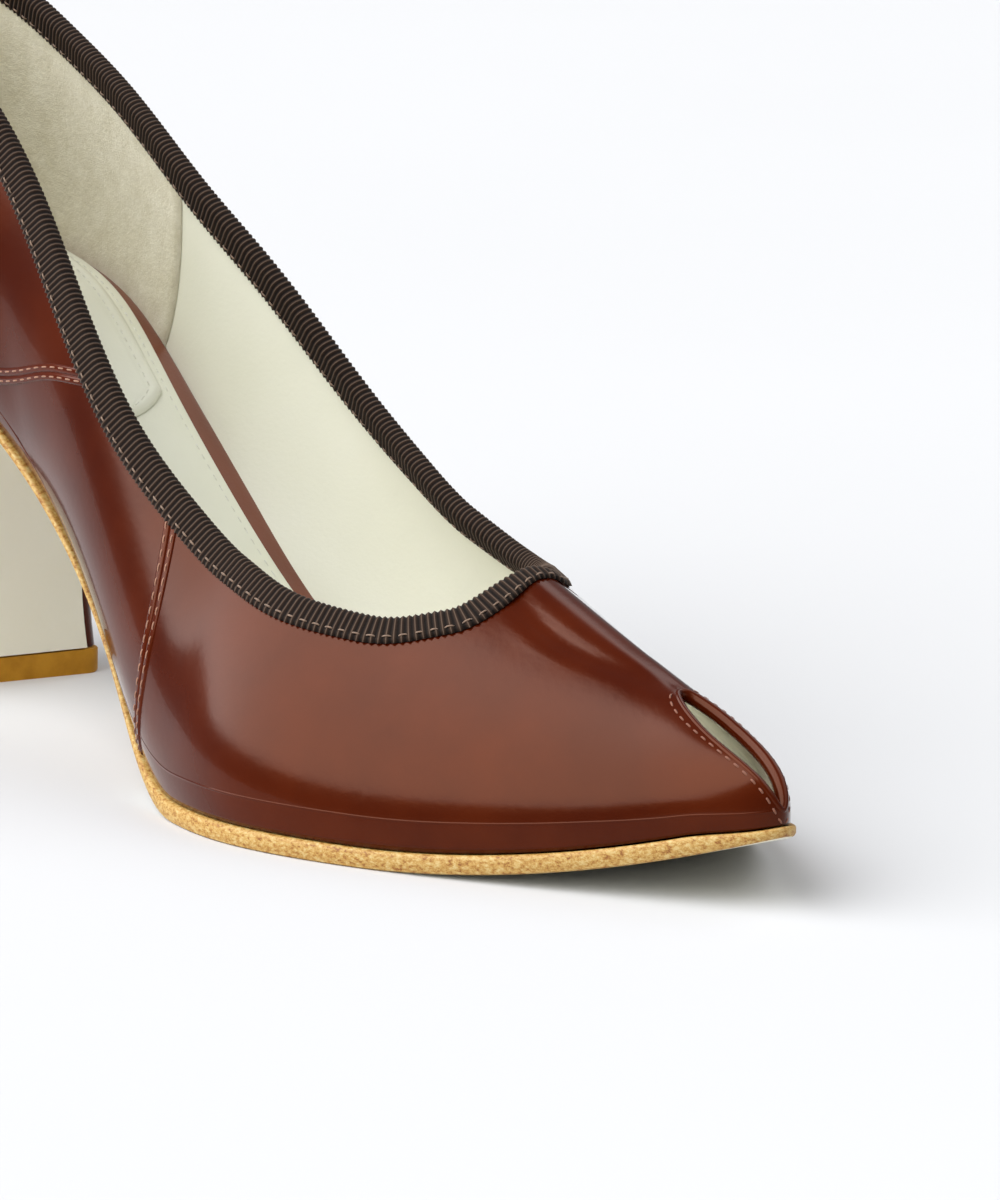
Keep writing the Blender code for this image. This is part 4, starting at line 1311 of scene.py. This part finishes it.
def aim(azimuth, height):
    """Direction from its azimuth, measured from the outer side towards the toe, and its height."""
    a, h = np.radians(azimuth), np.radians(height)
    return np.array([np.sin(a) * np.cos(h), -np.cos(a) * np.cos(h), np.sin(h)])


def world_math(world, operation, first, second):
    node = add_node(world, "ShaderNodeMath", operation=operation)
    for socket, value in zip(node.inputs, (first, second)):
        if isinstance(value, (int, float)):
            socket.default_value = value
        else:
            link(world, value, socket)
    return node.outputs["Value"]


def sky_box(world, direction, azimuth, height, half_width, half_height, soft):
    """Soft edged light area in the sky, as a share from 0 to 1."""
    axis = aim(azimuth, height)
    right = unit(np.cross(axis, UP))
    parts = []
    for vector in (axis, right, np.cross(right, axis)):
        dot = add_node(world, "ShaderNodeVectorMath", operation="DOT_PRODUCT")
        link(world, direction, dot.inputs[0])
        dot.inputs[1].default_value = vector
        parts.append(dot.outputs["Value"])
    ahead = world_math(world, "MAXIMUM", parts[0], 0.001)
    shares = []
    for part, half in zip(parts[1:], (half_width, half_height)):
        reach = world_math(world, "ABSOLUTE", world_math(world, "DIVIDE", part, ahead), 0.0)
        span = add_node(world, "ShaderNodeMapRange", interpolation_type="SMOOTHSTEP")
        span.inputs["From Min"].default_value = float(np.tan(np.radians(half + soft)))
        span.inputs["From Max"].default_value = float(np.tan(np.radians(half - soft)))
        link(world, reach, span.inputs["Value"])
        shares.append(span.outputs["Result"])
    return world_math(world, "MULTIPLY", shares[0], shares[1])


def make_world():
    """Even sky with a large soft light area in front of the outer side and one behind the shoe."""
    world = bpy.data.worlds.new("studio")
    bpy.context.scene.world = world
    world.use_nodes = True
    background = world.node_tree.nodes["Background"]
    background.inputs["Color"].default_value = (0.975, 0.985, 1.0, 1)
    place = add_node(world, "ShaderNodeTexCoord")
    strength = SKY_STRENGTH
    for box, power in ((MAIN_BOX, MAIN_BOX_STRENGTH), (BACK_BOX, BACK_BOX_STRENGTH)):
        share = sky_box(world, place.outputs["Generated"], *box)
        strength = world_math(world, "ADD", world_math(world, "MULTIPLY", share, power), strength)
    link(world, strength, background.inputs["Strength"])


def make_studio():
    """Pale floor and the world's soft light."""
    mesh = bpy.data.meshes.new("floor")
    corners = [(x * FLOOR_REACH, y * FLOOR_REACH, 0) for x, y in ((-1, -1), (1, -1), (1, 1), (-1, 1))]
    mesh.from_pydata(corners, [], [(0, 1, 2, 3)])
    floor = bpy.data.objects.new("floor", mesh)
    bpy.context.scene.collection.objects.link(floor)
    material = new_material("floor", (0.62, 0.62, 0.625), 0.7, specular=0.1)
    vary_colour(material, noise(material, 3, 2),
                [(0.4, (0.617, 0.617, 0.622)), (0.6, (0.623, 0.623, 0.628))])
    mesh.materials.append(material)
    make_world()
    bpy.context.scene.view_settings.view_transform = "Standard"


PATENT = patent_material("patent_leather", 1.0)
# Lighter copy of the patent leather for the raised seam strips: a painted highlight
PATENT_SEAM_HIGHLIGHT = patent_material("patent_seam_painted_highlight", 1.2)
# Darker copy of the patent leather for the heel cover: painted shade
PATENT_HEEL_SHADED = patent_material("patent_heel_painted_shade", 0.9)
LINING = leather_material("lining_leather", (0.80, 0.79, 0.655), (0.83, 0.82, 0.695), 0.45)
SUEDE = suede_material()
SOCK = leather_material("sock_leather", (0.80, 0.80, 0.66), (0.85, 0.85, 0.73), 0.40)
PAD = leather_material("pad_leather", (0.81, 0.81, 0.68), (0.86, 0.86, 0.75), 0.40)
BREAST = leather_material("pale_sole_leather", (0.88, 0.85, 0.69), (0.91, 0.89, 0.76), 0.5)
INSOLE_COVER = leather_material("insole_cover", (0.155, 0.030, 0.010), (0.20, 0.043, 0.016), 0.3, coat=0.4)
CORK = cork_material()
RIBBON = ribbon_material()
RUBBER = rubber_material()
THREAD = thread_material("binding_thread", (0.17, 0.105, 0.065))
THREAD_SEAM = thread_material("seam_thread", (0.27, 0.125, 0.070))
THREAD_SLIT = thread_material("slit_thread", (0.17, 0.055, 0.025))
THREAD_PALE = thread_material("pale_thread", (0.66, 0.65, 0.52))

make_upper()
make_grip()
make_binding()
make_seam("side_seam", OUTER, SIDE_SEAM)
make_seam("back_seam", OUTER, BACK_SEAM)
make_feather_line("feather_line_outer", OUTER)
make_feather_line("feather_line_inner", INNER)
make_slit_fold()
make_slit_stitches()
make_outsole()
make_insole()
make_sock()
make_pad()
make_heel()
make_breast_cover()
make_top_piece()
make_camera()
make_studio()

bpy.context.view_layer.update()
